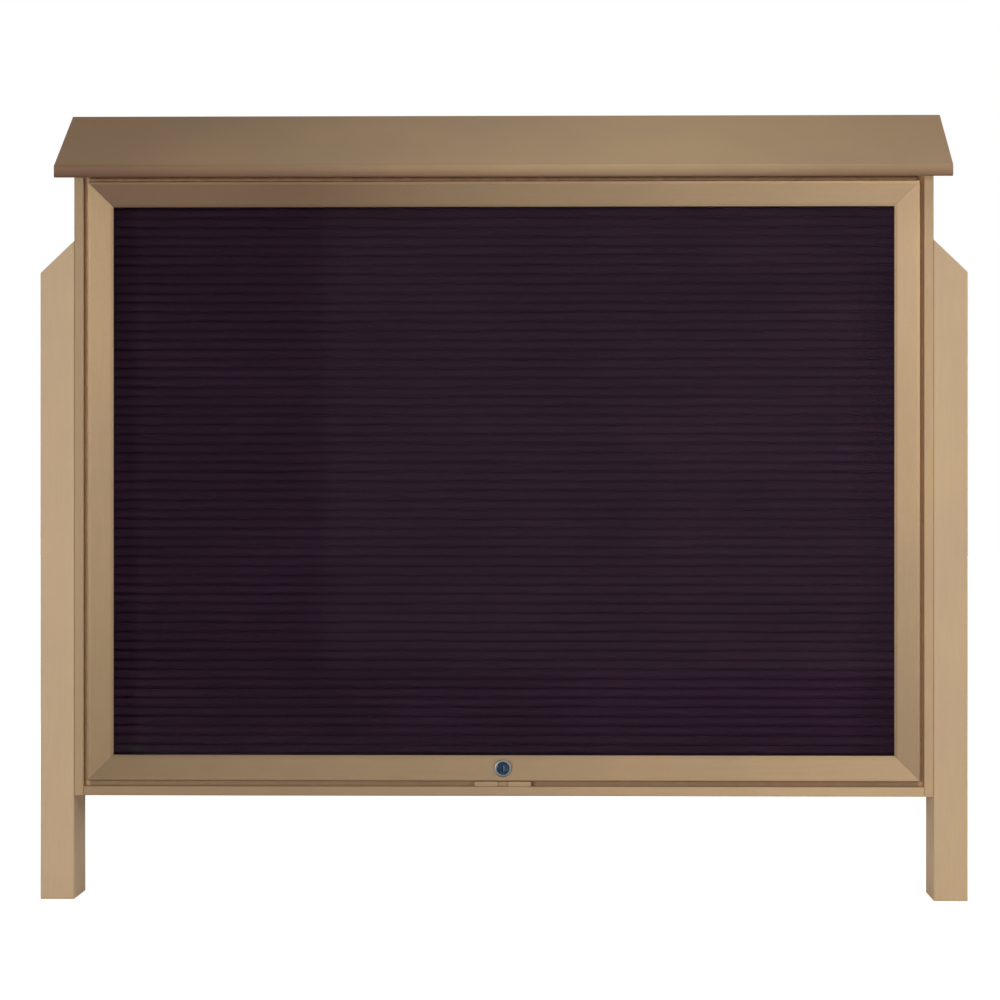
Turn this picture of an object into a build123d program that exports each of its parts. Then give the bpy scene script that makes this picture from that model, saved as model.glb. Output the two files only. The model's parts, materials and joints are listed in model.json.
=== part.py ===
from build123d import *
from collections import namedtuple
import math
import os

# A freestanding letter board: a sheet-built notice case with a sloped roof, a top-hung window door on two
# gas struts, a grooved board for push-in letters, and a flat post on each side.
# Millimetres and degrees. +Z is up, the front faces -Y, and the origin is on the ground in the middle.

os.makedirs("parts", exist_ok=True)

# Case boards
sheet = 12.7
top_sheet = 9.1
case_width = 1143.0
case_depth = 152.0
case_lift = 138.3
edge_round = 2.0

# Roof
roof_pitch = 24.5
roof_front_overhang = 32.0
roof_side_overhang = 22.7
roof_thickness = 16.0
roof_nose = 3.5
cleat_width = 19.0
cleat_thickness = 19.0
cleat_deck_gap = 2.8

# Posts
post_width = 45.0
post_depth = 114.0
post_top = 877.5
post_top_drop = 43.0
post_round = 1.5
post_bolt_count = 3
post_bolt_inset = 90.0

# Door frame, from the sight edge outwards and from the front backwards
window_height = 731.7
frame_width = 33.0
lip_thickness = 3.2
door_recess = 2.0
door_side_gap = 5.0
door_bottom_gap = 7.6
frame_margin = 5.0
bevel_depth = 9.0
sight_chamfer = 3.5
rebate_width = 9.0

# Window
pane_thickness = 4.8
pane_gap = 1.0
tape_thickness = 1.0
tape_width = 7.0
retainer_thickness = 3.0
retainer_inset = 1.5
retainer_seal_gap = 2.5
retainer_screw_inset = 18.0
rail_retainer_screws = 6
stile_retainer_screws = 4

# Continuous hinge
hinge_gap = 6.6
leaf_thickness = 1.4
leaf_edge_gap = 0.7
knuckle_side_gap = 0.3
knuckle_count = 43
knuckle_gap = 0.4
hinge_pin_radius = 1.2
hinge_end_gap = 4.0
hinge_screw_count = 12

# Door stops and seal
stop_lap = 4.5
stop_depth = 13.0
seal_thickness = 3.7
seal_gap = 0.3
fin_recess = 10.0
fin_gap = 1.0
side_stop_screws = 4
cross_stop_screws = 4

# Letter board
groove_pitch = 12.7
groove_cover = 14.0
groove_width = 2.2
groove_depth = 7.0
strip_crown = 0.8
board_thickness = 12.0
board_band = 8.0
board_strut_gap = 2.5
batten_width = 38.0
batten_depth = 50.8
batten_count = 3
batten_inset = 61.5

# Lock
flange_radius = 11.5
flange_thickness = 7.2
flange_proud = 1.2
barrel_radius = 7.0
plug_radius = 5.5
plug_head_radius = 8.5
plug_head_depth = 3.0
plug_chamfer = 0.5
key_slot_width = 1.8
key_slot_height = 9.0
key_slot_depth = 12.0
lock_nut_size = 19.0
lock_nut_thickness = 5.0
cam_thickness = 2.5
cam_floor_gap = 2.6
cam_width = 13.0
cam_corner = 3.2
cam_hub_radius = 8.0
cam_square = 7.0
cam_gap = 0.5
cam_screw_radius = 2.0
cam_screw_depth = 10.0
cam_washer_radius = 6.0
cam_washer_thickness = 2.5
cam_slot_width = 1.0
cam_slot_depth = 1.2
strike_thickness = 1.6
strike_width = 48.0
strike_edge_gap = 1.0
strike_screw_spacing = 34.0
keeper_width = 75.0
keeper_gap = 1.0
keeper_notch_width = 14.0
keeper_notch_depth = 3.0
keeper_screw_spacing = 45.0

# Gas struts
case_pivot_drop = 4.8
strut_back_gap = 9.0
strut_side_gap = 18.8
stud_rise = 9.0
stud_radius = 3.0
shoulder_radius = 5.0
clip_radius = 4.5
clip_thickness = 1.5
eye_radius = 6.0
eye_width = 8.0
eye_side_gap = 0.5
tube_radius = 6.0
tube_wall = 1.2
rod_radius = 2.5
rod_neck_radius = 3.5
rod_neck_length = 12.0
tube_neck_length = 8.0
tube_plug_length = 6.0
tube_end_gap = 2.2
guide_length = 12.0
piston_length = 8.0
piston_end_gap = 4.0
bracket_thickness = 2.5
bracket_corner = 1.0
shoulder_length = 1.25
case_bracket_width = 16.0
case_bracket_height = 33.0
door_bracket_height = 46.0
door_bracket_reach = 8.5
case_bracket_screw_spacing = 9.0
bracket_screw_edge = 1.5
door_bracket_screw_spacing = 32.0

# Running clearances
bolt_clearance = 0.25
screw_clearance = 0.1
running_clearance = 0.05

# Fasteners: shank radius, head radius and length, with a 90 degree head
Screw = namedtuple("Screw", "radius head length")
case_screw = Screw(2.2, 4.4, 38.0)
stop_screw = Screw(1.8, 3.6, 17.0)
cleat_screw = Screw(1.8, 3.6, 26.0)
board_screw = Screw(1.8, 3.6, 30.0)
hinge_screw = Screw(1.5, 2.8, 9.0)
retainer_screw = Screw(1.5, 2.8, 12.0)
bracket_screw = Screw(1.5, 2.8, 10.0)
door_bracket_screw = Screw(1.5, 2.8, 13.0)
mitre_screw = Screw(1.8, 3.6, 45.0)
strike_screw = Screw(1.5, 2.8, 11.0)
drive_share = 0.45
mitre_screw_depth = 11.4
case_screw_inset = 38.0
batten_screw_inset = 63.5
stop_screw_inset = 63.5
panel_screws_per_joint = 3
back_screw_columns = 5
back_screw_rows = 5
batten_screws = 3
bolt_radius = 4.0
bolt_head_radius = 7.0
bolt_head_height = 6.0
bolt_head_chamfer = 0.6
bolt_bore_radius = 9.0
bolt_bore_depth = 9.0
bolt_socket_radius = 3.4
bolt_socket_depth = 3.5
bolt_end = 2.0
bolt_nut_size = 13.0
bolt_nut_thickness = 6.5
washer_radius = 9.0
washer_thickness = 1.6

# Case planes
slope = math.tan(math.radians(roof_pitch))
y_eave = -(case_depth + roof_front_overhang) / 2
y_front = y_eave + roof_front_overhang
y_back = y_front + case_depth
y_inside_back = y_back - sheet
case_half = case_width / 2
inner_half = case_half - sheet
floor_top = case_lift + sheet
SIDES = (("left", -1), ("right", 1))

# Door planes
door_bottom = floor_top + door_bottom_gap
window_bottom = door_bottom + frame_width
window_top = window_bottom + window_height
window_middle = (window_bottom + window_top) / 2
door_top = window_top + frame_width
door_half = inner_half - door_side_gap
window_half = door_half - frame_width
rebate_depth = tape_thickness + pane_thickness
door_thickness = bevel_depth + sight_chamfer + lip_thickness + rebate_depth
door_front = y_front + door_recess
door_back = door_front + door_thickness
retainer_back = door_back + retainer_thickness
retainer_outer = frame_width - stop_lap - retainer_seal_gap
retainer_width = retainer_outer - retainer_inset
ceiling = door_top + hinge_gap
deck_top = ceiling + top_sheet
hinge_y = door_front + hinge_gap / 2
hinge_z = door_top + hinge_gap / 2
knuckle_radius = hinge_gap / 2 - knuckle_side_gap
leaf_start = knuckle_radius + knuckle_gap
leaf_width = door_back - hinge_y - leaf_edge_gap

# Stops behind the door's edge
stop_front = door_back + seal_gap + seal_thickness
stop_back = stop_front + stop_depth
stop_middle = (stop_front + stop_back) / 2
side_stop_width = door_side_gap + stop_lap
bottom_stop_top = door_bottom + stop_lap
top_stop_bottom = door_top - stop_lap
fin_front = y_front + fin_recess

# Letter board and its battens
board_back = y_inside_back - batten_depth
board_front = board_back - board_thickness
strut_x = inner_half - strut_side_gap
board_half = strut_x - tube_radius - board_strut_gap
groove_count = math.ceil((window_height + 2 * groove_cover) / groove_pitch)
groove_low = window_middle - (groove_count * groove_pitch + groove_width) / 2
groove_high = groove_low + groove_count * groove_pitch
board_low = groove_low - board_band
board_high = groove_high + groove_width + board_band

# Lock line, from the front of the flange to the end of the cam screw
lock_z = door_bottom + frame_width / 2
bevel_run = frame_width - frame_margin - sight_chamfer
lock_seat = bevel_depth * (frame_width / 2 + flange_radius - frame_margin) / bevel_run
flange_front = door_front + lock_seat - flange_thickness
strike_back = stop_back + strike_thickness
barrel_end = strike_back + cam_gap
plug_end = barrel_end + cam_thickness
cam_reach = lock_z - floor_top - cam_floor_gap

# Strut pivots: both stand at one radius from the hinge, so the strut turns by half of the door's angle
stud_y = retainer_back + stud_rise
door_pivot_dy = stud_y - hinge_y
case_pivot_dy = y_inside_back - strut_back_gap - hinge_y
pivot_radius = math.hypot(case_pivot_dy, case_pivot_drop)
door_pivot_drop = math.sqrt(pivot_radius**2 - door_pivot_dy**2)
rest_angle = math.atan2(case_pivot_dy, case_pivot_drop) - math.atan2(door_pivot_dy, door_pivot_drop)
case_pivot = (hinge_y + case_pivot_dy, hinge_z - case_pivot_drop)
door_pivot = (stud_y, hinge_z - door_pivot_drop)
strut_length = 2 * pivot_radius * math.sin(rest_angle / 2)
strut_dy = (door_pivot[0] - case_pivot[0]) / strut_length
strut_dz = (door_pivot[1] - case_pivot[1]) / strut_length
tube_end = strut_length - rod_neck_length - tube_end_gap
bore_start = tube_neck_length + tube_plug_length
piston_start = bore_start + piston_end_gap
tube_bore = tube_radius - tube_wall

DOWN_FROM_TOP = (Align.CENTER, Align.CENTER, Align.MAX)
UP_FROM_BASE = (Align.CENTER, Align.CENTER, Align.MIN)
ALONG_X = (0, 90, 0)


def finish(builder, name):
    """Label the finished piece and write it."""
    builder.part.label = name
    export_step(builder.part, f"parts/{name}.step")


def roof_under(y):
    """Height of the roof board's underside at a depth."""
    return deck_top + (y - y_front) * slope


def spread(count, spacing, middle=0.0):
    """Evenly spaced places about a middle."""
    return [middle + (i - (count - 1) / 2) * spacing for i in range(count)]


def between(low, high, count):
    """Evenly spaced places from one end to the other."""
    return [low + (high - low) * i / (count - 1) for i in range(count)]


def on_face(points, outward):
    """Places on a face, each with its Z axis pointing out of the face."""
    return [Plane(origin=point, z_dir=outward).location for point in points]


def drill(places, screw):
    """Holes for the screws' shanks in the open piece."""
    with Locations(*places):
        Hole(screw.radius + screw_clearance, depth=screw.length + screw_clearance)


def sink(places, screw):
    """Holes for the screws' shanks and flat heads in the open piece."""
    with Locations(*places):
        CounterSinkHole(
            screw.radius + screw_clearance,
            screw.head + screw_clearance,
            depth=screw.length + screw_clearance,
            counter_sink_angle=90,
        )


def make_screws(name, places, screw):
    """A group of flat-headed screws with a square drive recess."""
    head_height = screw.head - screw.radius
    with BuildPart() as screws:
        with Locations(*places):
            Cylinder(screw.radius, screw.length, align=DOWN_FROM_TOP)
            Cone(screw.radius, screw.head, head_height, align=DOWN_FROM_TOP)
            Box(screw.radius, screw.radius, 2 * drive_share * screw.head, mode=Mode.SUBTRACT)
    finish(screws, name)


# Places of the fasteners
post_y = y_front + post_depth / 2
bolt_zs = between(case_lift + post_bolt_inset, post_top - post_bolt_inset, post_bolt_count)
panel_screw_ys = between(y_front + case_screw_inset, y_inside_back - case_screw_inset, panel_screws_per_joint)
panel_screw_zs = (case_lift + sheet / 2, ceiling + top_sheet / 2)
back_edge_xs = spread(back_screw_columns, case_width / back_screw_columns)
back_edge_zs = between(case_lift + case_screw_inset, ceiling - case_screw_inset, back_screw_rows)
batten_xs = between(batten_inset - board_half, board_half - batten_inset, batten_count)
batten_zs = between(floor_top + batten_screw_inset, ceiling - batten_screw_inset, batten_screws)
stop_zs = between(floor_top + stop_screw_inset, ceiling - stop_screw_inset, side_stop_screws)
stop_xs = spread(cross_stop_screws, case_width / cross_stop_screws)
retainer_rail_xs = spread(rail_retainer_screws, 2 * window_half / rail_retainer_screws)
retainer_stile_zs = spread(stile_retainer_screws, window_height / (stile_retainer_screws + 1), window_middle)
hinge_length = 2 * (door_half - hinge_end_gap)
hinge_screw_xs = spread(hinge_screw_count, hinge_length / (hinge_screw_count + 1))
mitre_y = door_front + mitre_screw_depth
mitre_inset = frame_margin + mitre_screw.head

bolt_places = []
washer_planes = []
nut_planes = []
panel_screw_places = {}
stop_screw_places = {}
mitre_places = []
for side_name, side in SIDES:
    for z in bolt_zs:
        seat = (side * (case_half + post_width - bolt_bore_depth), post_y, z)
        bolt_places.append(Plane(origin=seat, z_dir=(side, 0, 0)))
        inner = (side * inner_half, post_y, z)
        washer_planes.append(Plane(origin=inner, z_dir=(-side, 0, 0)))
        nut_planes.append(washer_planes[-1].offset(washer_thickness))
    panel_screw_places[side_name] = on_face(
        [(side * case_half, y, z) for z in panel_screw_zs for y in panel_screw_ys], (side, 0, 0))
    stop_screw_places[side_name] = on_face(
        [(side * (inner_half - side_stop_width), stop_middle, z) for z in stop_zs], (-side, 0, 0))
    mitre_places += on_face(
        [(side * door_half, mitre_y, z) for z in (door_bottom + mitre_inset, door_top - mitre_inset)],
        (side, 0, 0))
all_panel_screws = panel_screw_places["left"] + panel_screw_places["right"]
stop_screw_places["bottom"] = on_face([(x, stop_middle, bottom_stop_top) for x in stop_xs], (0, 0, 1))
stop_screw_places["top"] = on_face([(x, stop_middle, top_stop_bottom) for x in stop_xs], (0, 0, -1))

back_points = [(x, y_back, z) for x in back_edge_xs for z in panel_screw_zs]
back_points += [(s * (case_half - sheet / 2), y_back, z) for n, s in SIDES for z in back_edge_zs]
back_points += [(x, y_back, z) for x in batten_xs for z in batten_zs]
back_places = on_face(back_points, (0, 1, 0))

board_points = [
    (x, board_front, z)
    for x in batten_xs
    for z in (board_low + board_band / 2, board_high - board_band / 2)
]
board_places = on_face(board_points, (0, -1, 0))

cleat_drop = cleat_thickness / math.cos(math.radians(roof_pitch))
cleat_front = y_front + (cleat_drop + cleat_deck_gap) / slope
cleat_quarters = between(cleat_front, y_inside_back, 5)
up_points = [
    (s * (inner_half - cleat_width / 2), y, roof_under(y) - cleat_drop)
    for n, s in SIDES
    for y in (cleat_quarters[1], cleat_quarters[3])
]
down_slope = (0, math.sin(math.radians(roof_pitch)), -math.cos(math.radians(roof_pitch)))
cleat_up_places = on_face(up_points, down_slope)
cleat_side_places = []
for side_name, side in SIDES:
    cleat_middle_z = roof_under(cleat_quarters[2]) - cleat_drop / 2
    middle = (side * (inner_half - cleat_width), cleat_quarters[2], cleat_middle_z)
    cleat_side_places += on_face([middle], (-side, 0, 0))

hinge_screw_y = hinge_y + (leaf_start + leaf_width) / 2
case_leaf_places = on_face([(x, hinge_screw_y, ceiling - leaf_thickness) for x in hinge_screw_xs], (0, 0, -1))
door_leaf_places = on_face([(x, hinge_screw_y, door_top + leaf_thickness) for x in hinge_screw_xs], (0, 0, 1))

retainer_points = []
for x in retainer_rail_xs:
    retainer_points.append((x, retainer_back, window_bottom - retainer_screw_inset))
    retainer_points.append((x, retainer_back, window_top + retainer_screw_inset))
for z in retainer_stile_zs:
    retainer_points.append((-window_half - retainer_screw_inset, retainer_back, z))
    retainer_points.append((window_half + retainer_screw_inset, retainer_back, z))
retainer_places = on_face(retainer_points, (0, 1, 0))

bracket_back = retainer_back + bracket_thickness
door_bracket_points = [
    (s * strut_x, bracket_back, z)
    for n, s in SIDES
    for z in spread(2, door_bracket_screw_spacing, door_pivot[1])
]
door_bracket_places = on_face(door_bracket_points, (0, 1, 0))
case_bracket_low = case_pivot[1] + eye_radius - case_bracket_height
first_screw_z = case_bracket_low + bracket_screw.head + bracket_screw_edge
case_bracket_zs = (first_screw_z, first_screw_z + case_bracket_screw_spacing)
case_bracket_places = {}
for side_name, side in SIDES:
    case_bracket_places[side_name] = on_face(
        [(side * (inner_half - bracket_thickness), case_pivot[0], z) for z in case_bracket_zs], (-side, 0, 0))

strike_middle_z = (floor_top + strike_edge_gap + bottom_stop_top) / 2
strike_points = [(x, strike_back, strike_middle_z) for x in spread(2, strike_screw_spacing)]
strike_places = on_face(strike_points, (0, 1, 0))
keeper_height = door_bottom_gap - keeper_gap
keeper_depth = fin_front - door_front
keeper_points = [
    (x, door_front + keeper_depth / 2, floor_top + keeper_height) for x in spread(2, keeper_screw_spacing)
]
keeper_places = on_face(keeper_points, (0, 0, 1))

# Posts and their bolts
for side_name, side in SIDES:
    with BuildPart() as post:
        with BuildSketch(Plane.XZ.offset(-y_front)):
            with BuildLine():
                Polyline(
                    (side * case_half, 0),
                    (side * (case_half + post_width), 0),
                    (side * (case_half + post_width), post_top - post_top_drop),
                    (side * case_half, post_top),
                    close=True,
                )
            make_face()
        extrude(amount=-post_depth)
        fillet(post.edges().filter_by(Axis.Z), post_round)
        with Locations(*[(side * (case_half + post_width), post_y, z) for z in bolt_zs]):
            with Locations(Location((0, 0, 0), (0, side * 90, 0))):
                CounterBoreHole(bolt_radius + bolt_clearance, bolt_bore_radius, bolt_bore_depth)
    finish(post, f"{side_name}_post")

bolt_length = post_width - bolt_bore_depth + sheet + washer_thickness + bolt_nut_thickness + bolt_end
with BuildPart() as post_bolts:
    with Locations(*bolt_places):
        Cylinder(bolt_head_radius, bolt_head_height, align=UP_FROM_BASE)
        Cylinder(bolt_radius, bolt_length, align=DOWN_FROM_TOP)
    with BuildSketch(*[place.offset(bolt_head_height) for place in bolt_places]):
        RegularPolygon(bolt_socket_radius, 6)
    extrude(amount=-bolt_socket_depth, mode=Mode.SUBTRACT)
    chamfer(post_bolts.edges().filter_by(GeomType.CIRCLE).group_by(SortBy.RADIUS)[-1], bolt_head_chamfer)
finish(post_bolts, "post_bolts")

with BuildPart() as post_bolt_washers:
    with BuildSketch(*washer_planes):
        Circle(washer_radius)
        Circle(bolt_radius + bolt_clearance, mode=Mode.SUBTRACT)
    extrude(amount=washer_thickness)
finish(post_bolt_washers, "post_bolt_washers")

with BuildPart() as post_bolt_nuts:
    with BuildSketch(*nut_planes):
        RegularPolygon(bolt_nut_size / 2, 6, major_radius=False)
        Circle(bolt_radius + running_clearance, mode=Mode.SUBTRACT)
    extrude(amount=bolt_nut_thickness)
finish(post_bolt_nuts, "post_bolt_nuts")

# Case boards
for side_name, side in SIDES:
    with BuildPart() as panel:
        with BuildSketch(Plane.YZ.offset(side * case_half)):
            with BuildLine():
                Polyline(
                    (y_front, case_lift),
                    (y_inside_back, case_lift),
                    (y_inside_back, roof_under(y_inside_back)),
                    (y_front, deck_top),
                    close=True,
                )
            make_face()
        extrude(amount=-side * sheet)
        fillet(panel.edges().filter_by(Axis.Z).group_by(Axis.Y)[0], edge_round)
        sink(panel_screw_places[side_name], case_screw)
        drill(stop_screw_places[side_name], stop_screw)
        drill(case_bracket_places[side_name], bracket_screw)
        drill(cleat_side_places, cleat_screw)
        drill(back_places, case_screw)
        with Locations(*[(side * inner_half, post_y, z) for z in bolt_zs]):
            with Locations(Location((0, 0, 0), (0, 90, 0))):
                Hole(bolt_radius + bolt_clearance, depth=2 * sheet)
    finish(panel, f"{side_name}_side_panel")

with BuildPart() as bottom_panel:
    with Locations((0, (y_front + y_inside_back) / 2, case_lift)):
        Box(2 * inner_half, y_inside_back - y_front, sheet, align=UP_FROM_BASE)
    fillet(bottom_panel.edges().filter_by(Axis.X).group_by(Axis.Y)[0], edge_round)
    drill(all_panel_screws, case_screw)
    drill(back_places, case_screw)
    drill(stop_screw_places["bottom"], stop_screw)
    drill(keeper_places, strike_screw)
finish(bottom_panel, "bottom_panel")

with BuildPart() as top_panel:
    with Locations((0, (y_front + y_inside_back) / 2, ceiling)):
        Box(2 * inner_half, y_inside_back - y_front, top_sheet, align=UP_FROM_BASE)
    drill(all_panel_screws, case_screw)
    drill(back_places, case_screw)
    drill(stop_screw_places["top"], stop_screw)
    drill(case_leaf_places, hinge_screw)
finish(top_panel, "top_panel")

with BuildPart() as back_panel:
    with BuildSketch(Plane.YZ):
        with BuildLine():
            Polyline(
                (y_inside_back, case_lift),
                (y_back, case_lift),
                (y_back, roof_under(y_back)),
                (y_inside_back, roof_under(y_inside_back)),
                close=True,
            )
        make_face()
    extrude(amount=case_half, both=True)
    sink(back_places, case_screw)
finish(back_panel, "back_panel")

with BuildPart() as roof_board:
    with BuildSketch(Plane.YZ):
        plumb = roof_thickness / math.cos(math.radians(roof_pitch))
        with BuildLine():
            Polyline(
                (y_eave, roof_under(y_eave)),
                (y_back, roof_under(y_back)),
                (y_back, roof_under(y_back) + plumb),
                (y_eave, roof_under(y_eave) + plumb),
                close=True,
            )
        make_face()
    extrude(amount=case_half + roof_side_overhang, both=True)
    fillet(roof_board.edges().filter_by(Axis.X).group_by(Axis.Y)[0], roof_nose)
    drill(cleat_up_places, cleat_screw)
finish(roof_board, "roof_board")

with BuildPart() as roof_cleats:
    with BuildSketch(Plane.YZ.offset(-inner_half), Plane.YZ.offset(inner_half - cleat_width)):
        with BuildLine():
            Polyline(
                (cleat_front, roof_under(cleat_front) - cleat_drop),
                (y_inside_back, roof_under(y_inside_back) - cleat_drop),
                (y_inside_back, roof_under(y_inside_back)),
                (cleat_front, roof_under(cleat_front)),
                close=True,
            )
        make_face()
    extrude(amount=cleat_width)
    sink(cleat_up_places, cleat_screw)
    sink(cleat_side_places, cleat_screw)
finish(roof_cleats, "roof_cleats")

make_screws("roof_cleat_screws", cleat_up_places + cleat_side_places, cleat_screw)
make_screws("panel_screws", all_panel_screws, case_screw)
make_screws("back_screws", back_places, case_screw)

# Letter board
with BuildPart() as letter_board:
    with BuildSketch(Plane.YZ):
        strip_edge = board_front + strip_crown
        groove_root = strip_edge + groove_depth
        with BuildLine():
            for i in range(groove_count):
                low = groove_low + i * groove_pitch
                start = board_front if i == 0 else strip_edge
                Polyline(
                    (start, low),
                    (groove_root, low),
                    (groove_root, low + groove_width),
                    (strip_edge, low + groove_width),
                )
                ThreePointArc(
                    (strip_edge, low + groove_width),
                    (board_front, low + (groove_width + groove_pitch) / 2),
                    (strip_edge, low + groove_pitch),
                )
            Polyline(
                (strip_edge, groove_high),
                (groove_root, groove_high),
                (groove_root, groove_high + groove_width),
                (board_front, groove_high + groove_width),
                (board_front, board_high),
                (board_back, board_high),
                (board_back, board_low),
                (board_front, board_low),
                (board_front, groove_low),
            )
        make_face()
    extrude(amount=board_half, both=True)
    sink(board_places, board_screw)
finish(letter_board, "letter_board")

with BuildPart() as board_battens:
    with Locations(*[(x, (board_back + y_inside_back) / 2, floor_top) for x in batten_xs]):
        Box(batten_width, batten_depth, ceiling - floor_top, align=UP_FROM_BASE)
    drill(back_places, case_screw)
    drill(board_places, board_screw)
finish(board_battens, "board_battens")

make_screws("letter_board_screws", board_places, board_screw)

# Door stops, and the seal with the fin that fills the gap round the door
for side_name, side in SIDES:
    with BuildPart() as side_stop:
        with Locations((side * (inner_half - side_stop_width / 2), stop_middle, floor_top)):
            Box(side_stop_width, stop_depth, ceiling - floor_top, align=UP_FROM_BASE)
        sink(stop_screw_places[side_name], stop_screw)
    finish(side_stop, f"{side_name}_stop")

cross_stop_length = 2 * (inner_half - side_stop_width)
with BuildPart() as bottom_stop:
    with Locations((0, stop_middle, floor_top)):
        Box(cross_stop_length, stop_depth, bottom_stop_top - floor_top, align=UP_FROM_BASE)
    sink(stop_screw_places["bottom"], stop_screw)
    drill(strike_places, strike_screw)
finish(bottom_stop, "bottom_stop")

with BuildPart() as top_stop:
    with Locations((0, stop_middle, ceiling)):
        Box(cross_stop_length, stop_depth, ceiling - top_stop_bottom, align=DOWN_FROM_TOP)
    sink(stop_screw_places["top"], stop_screw)
finish(top_stop, "top_stop")

every_stop_place = []
for places in stop_screw_places.values():
    every_stop_place += places
make_screws("stop_screws", every_stop_place, stop_screw)

with BuildPart() as door_seal:
    with BuildSketch(Plane.XZ.offset(-stop_front)):
        with BuildLine():
            Polyline(
                (-inner_half, floor_top),
                (inner_half, floor_top),
                (inner_half, ceiling),
                (-inner_half, ceiling),
                close=True,
            )
        make_face()
        with BuildLine():
            seal_inner = inner_half - side_stop_width
            Polyline(
                (-seal_inner, bottom_stop_top),
                (seal_inner, bottom_stop_top),
                (seal_inner, top_stop_bottom),
                (-seal_inner, top_stop_bottom),
                close=True,
            )
        make_face(mode=Mode.SUBTRACT)
    extrude(amount=seal_thickness)
    with BuildSketch(Plane.XZ.offset(-stop_front)):
        with BuildLine():
            fin_inner = door_half + fin_gap
            Polyline(
                (-inner_half, ceiling),
                (-inner_half, floor_top),
                (inner_half, floor_top),
                (inner_half, ceiling),
                (fin_inner, ceiling),
                (fin_inner, door_bottom - fin_gap),
                (-fin_inner, door_bottom - fin_gap),
                (-fin_inner, ceiling),
                close=True,
            )
        make_face()
    extrude(amount=stop_front - fin_front)
finish(door_seal, "door_seal")

# Block and strike plate under the lock
with BuildPart() as keeper_block:
    with Locations((0, door_front, floor_top)):
        Box(keeper_width, keeper_depth, keeper_height, align=(Align.CENTER, Align.MIN, Align.MIN))
        Box(
            keeper_notch_width,
            2 * keeper_notch_depth,
            2 * keeper_height,
            align=(Align.CENTER, Align.CENTER, Align.MIN),
            mode=Mode.SUBTRACT,
        )
    sink(keeper_places, strike_screw)
finish(keeper_block, "keeper_block")

with BuildPart() as strike_plate:
    with Locations((0, stop_back + strike_thickness / 2, strike_middle_z)):
        Box(strike_width, strike_thickness, bottom_stop_top - floor_top - strike_edge_gap)
    sink(strike_places, strike_screw)
finish(strike_plate, "strike_plate")

make_screws("strike_screws", strike_places + keeper_places, strike_screw)

# Continuous hinge
knuckle_pitch = hinge_length / knuckle_count
knuckle_xs = spread(knuckle_count, knuckle_pitch)
LEAVES = (
    ("hinge_case_leaf", knuckle_xs[0::2], ceiling - leaf_thickness, case_leaf_places),
    ("hinge_door_leaf", knuckle_xs[1::2], door_top, door_leaf_places),
)
for leaf_name, leaf_xs, leaf_z, screw_places in LEAVES:
    with BuildPart() as leaf:
        with Locations((0, hinge_y + (leaf_start + leaf_width) / 2, leaf_z)):
            Box(hinge_length, leaf_width - leaf_start, leaf_thickness, align=UP_FROM_BASE)
        with Locations(*[(x, hinge_y, leaf_z) for x in leaf_xs]):
            Box(
                knuckle_pitch - knuckle_gap,
                leaf_start,
                leaf_thickness,
                align=(Align.CENTER, Align.MIN, Align.MIN),
            )
        with Locations(*[(x, hinge_y, hinge_z) for x in leaf_xs]):
            Cylinder(knuckle_radius, knuckle_pitch - knuckle_gap, rotation=ALONG_X)
        with Locations((0, hinge_y, hinge_z)):
            Cylinder(
                hinge_pin_radius + running_clearance, hinge_length, rotation=ALONG_X, mode=Mode.SUBTRACT)
        sink(screw_places, hinge_screw)
    finish(leaf, leaf_name)

with BuildPart() as hinge_pin:
    with Locations((0, hinge_y, hinge_z)):
        Cylinder(hinge_pin_radius, hinge_length, rotation=ALONG_X)
finish(hinge_pin, "hinge_pin")

make_screws("hinge_case_screws", case_leaf_places, hinge_screw)
make_screws("hinge_door_screws", door_leaf_places, hinge_screw)

# Door frame: each member has one profile, drawn outwards from the sight edge and backwards from the front
MEMBERS = (
    ("door_top_rail", (0, 0, 1), window_top, window_half),
    ("door_bottom_rail", (0, 0, -1), window_bottom, window_half),
    ("door_left_stile", (-1, 0, 0), window_half, window_height / 2),
    ("door_right_stile", (1, 0, 0), window_half, window_height / 2),
)
for member_name, outward, sight, half_length in MEMBERS:
    out = Vector(*outward)
    along = out.cross(Vector(0, 1, 0))
    if outward[0]:
        middle = Vector(outward[0] * sight, door_front, window_middle)
    else:
        middle = Vector(0, door_front, sight)
    with BuildPart() as member:
        with BuildSketch(Plane(origin=middle, x_dir=out, z_dir=along)):
            with BuildLine():
                Polyline(
                    (frame_width, 0),
                    (frame_width, door_thickness),
                    (rebate_width, door_thickness),
                    (rebate_width, door_thickness - rebate_depth),
                    (0, door_thickness - rebate_depth),
                    (0, bevel_depth + sight_chamfer),
                    (sight_chamfer, bevel_depth),
                    (frame_width - frame_margin, 0),
                    close=True,
                )
            member_profile = make_face()
            fillet(member_profile.vertices().group_by(Axis.Y)[0].sort_by(Axis.X)[-1], edge_round)
        extrude(amount=half_length + frame_width, both=True)
        for end in (-1, 1):
            corner = middle + along * (end * half_length)
            split(bisect_by=Plane(origin=corner, z_dir=along * end - out), keep=Keep.BOTTOM)
        drill(retainer_places, retainer_screw)
        if member_name == "door_top_rail":
            drill(door_leaf_places, hinge_screw)
        if member_name == "door_bottom_rail":
            with Locations(*on_face([(0, door_front, lock_z)], (0, -1, 0))):
                CounterBoreHole(
                    barrel_radius + screw_clearance, flange_radius + screw_clearance, lock_seat,
                    depth=2 * door_thickness)
        if outward[0]:
            sink(mitre_places, mitre_screw)
            drill(door_bracket_places, door_bracket_screw)
        else:
            drill(mitre_places, mitre_screw)
    finish(member, member_name)

make_screws("mitre_screws", mitre_places, mitre_screw)

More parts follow.
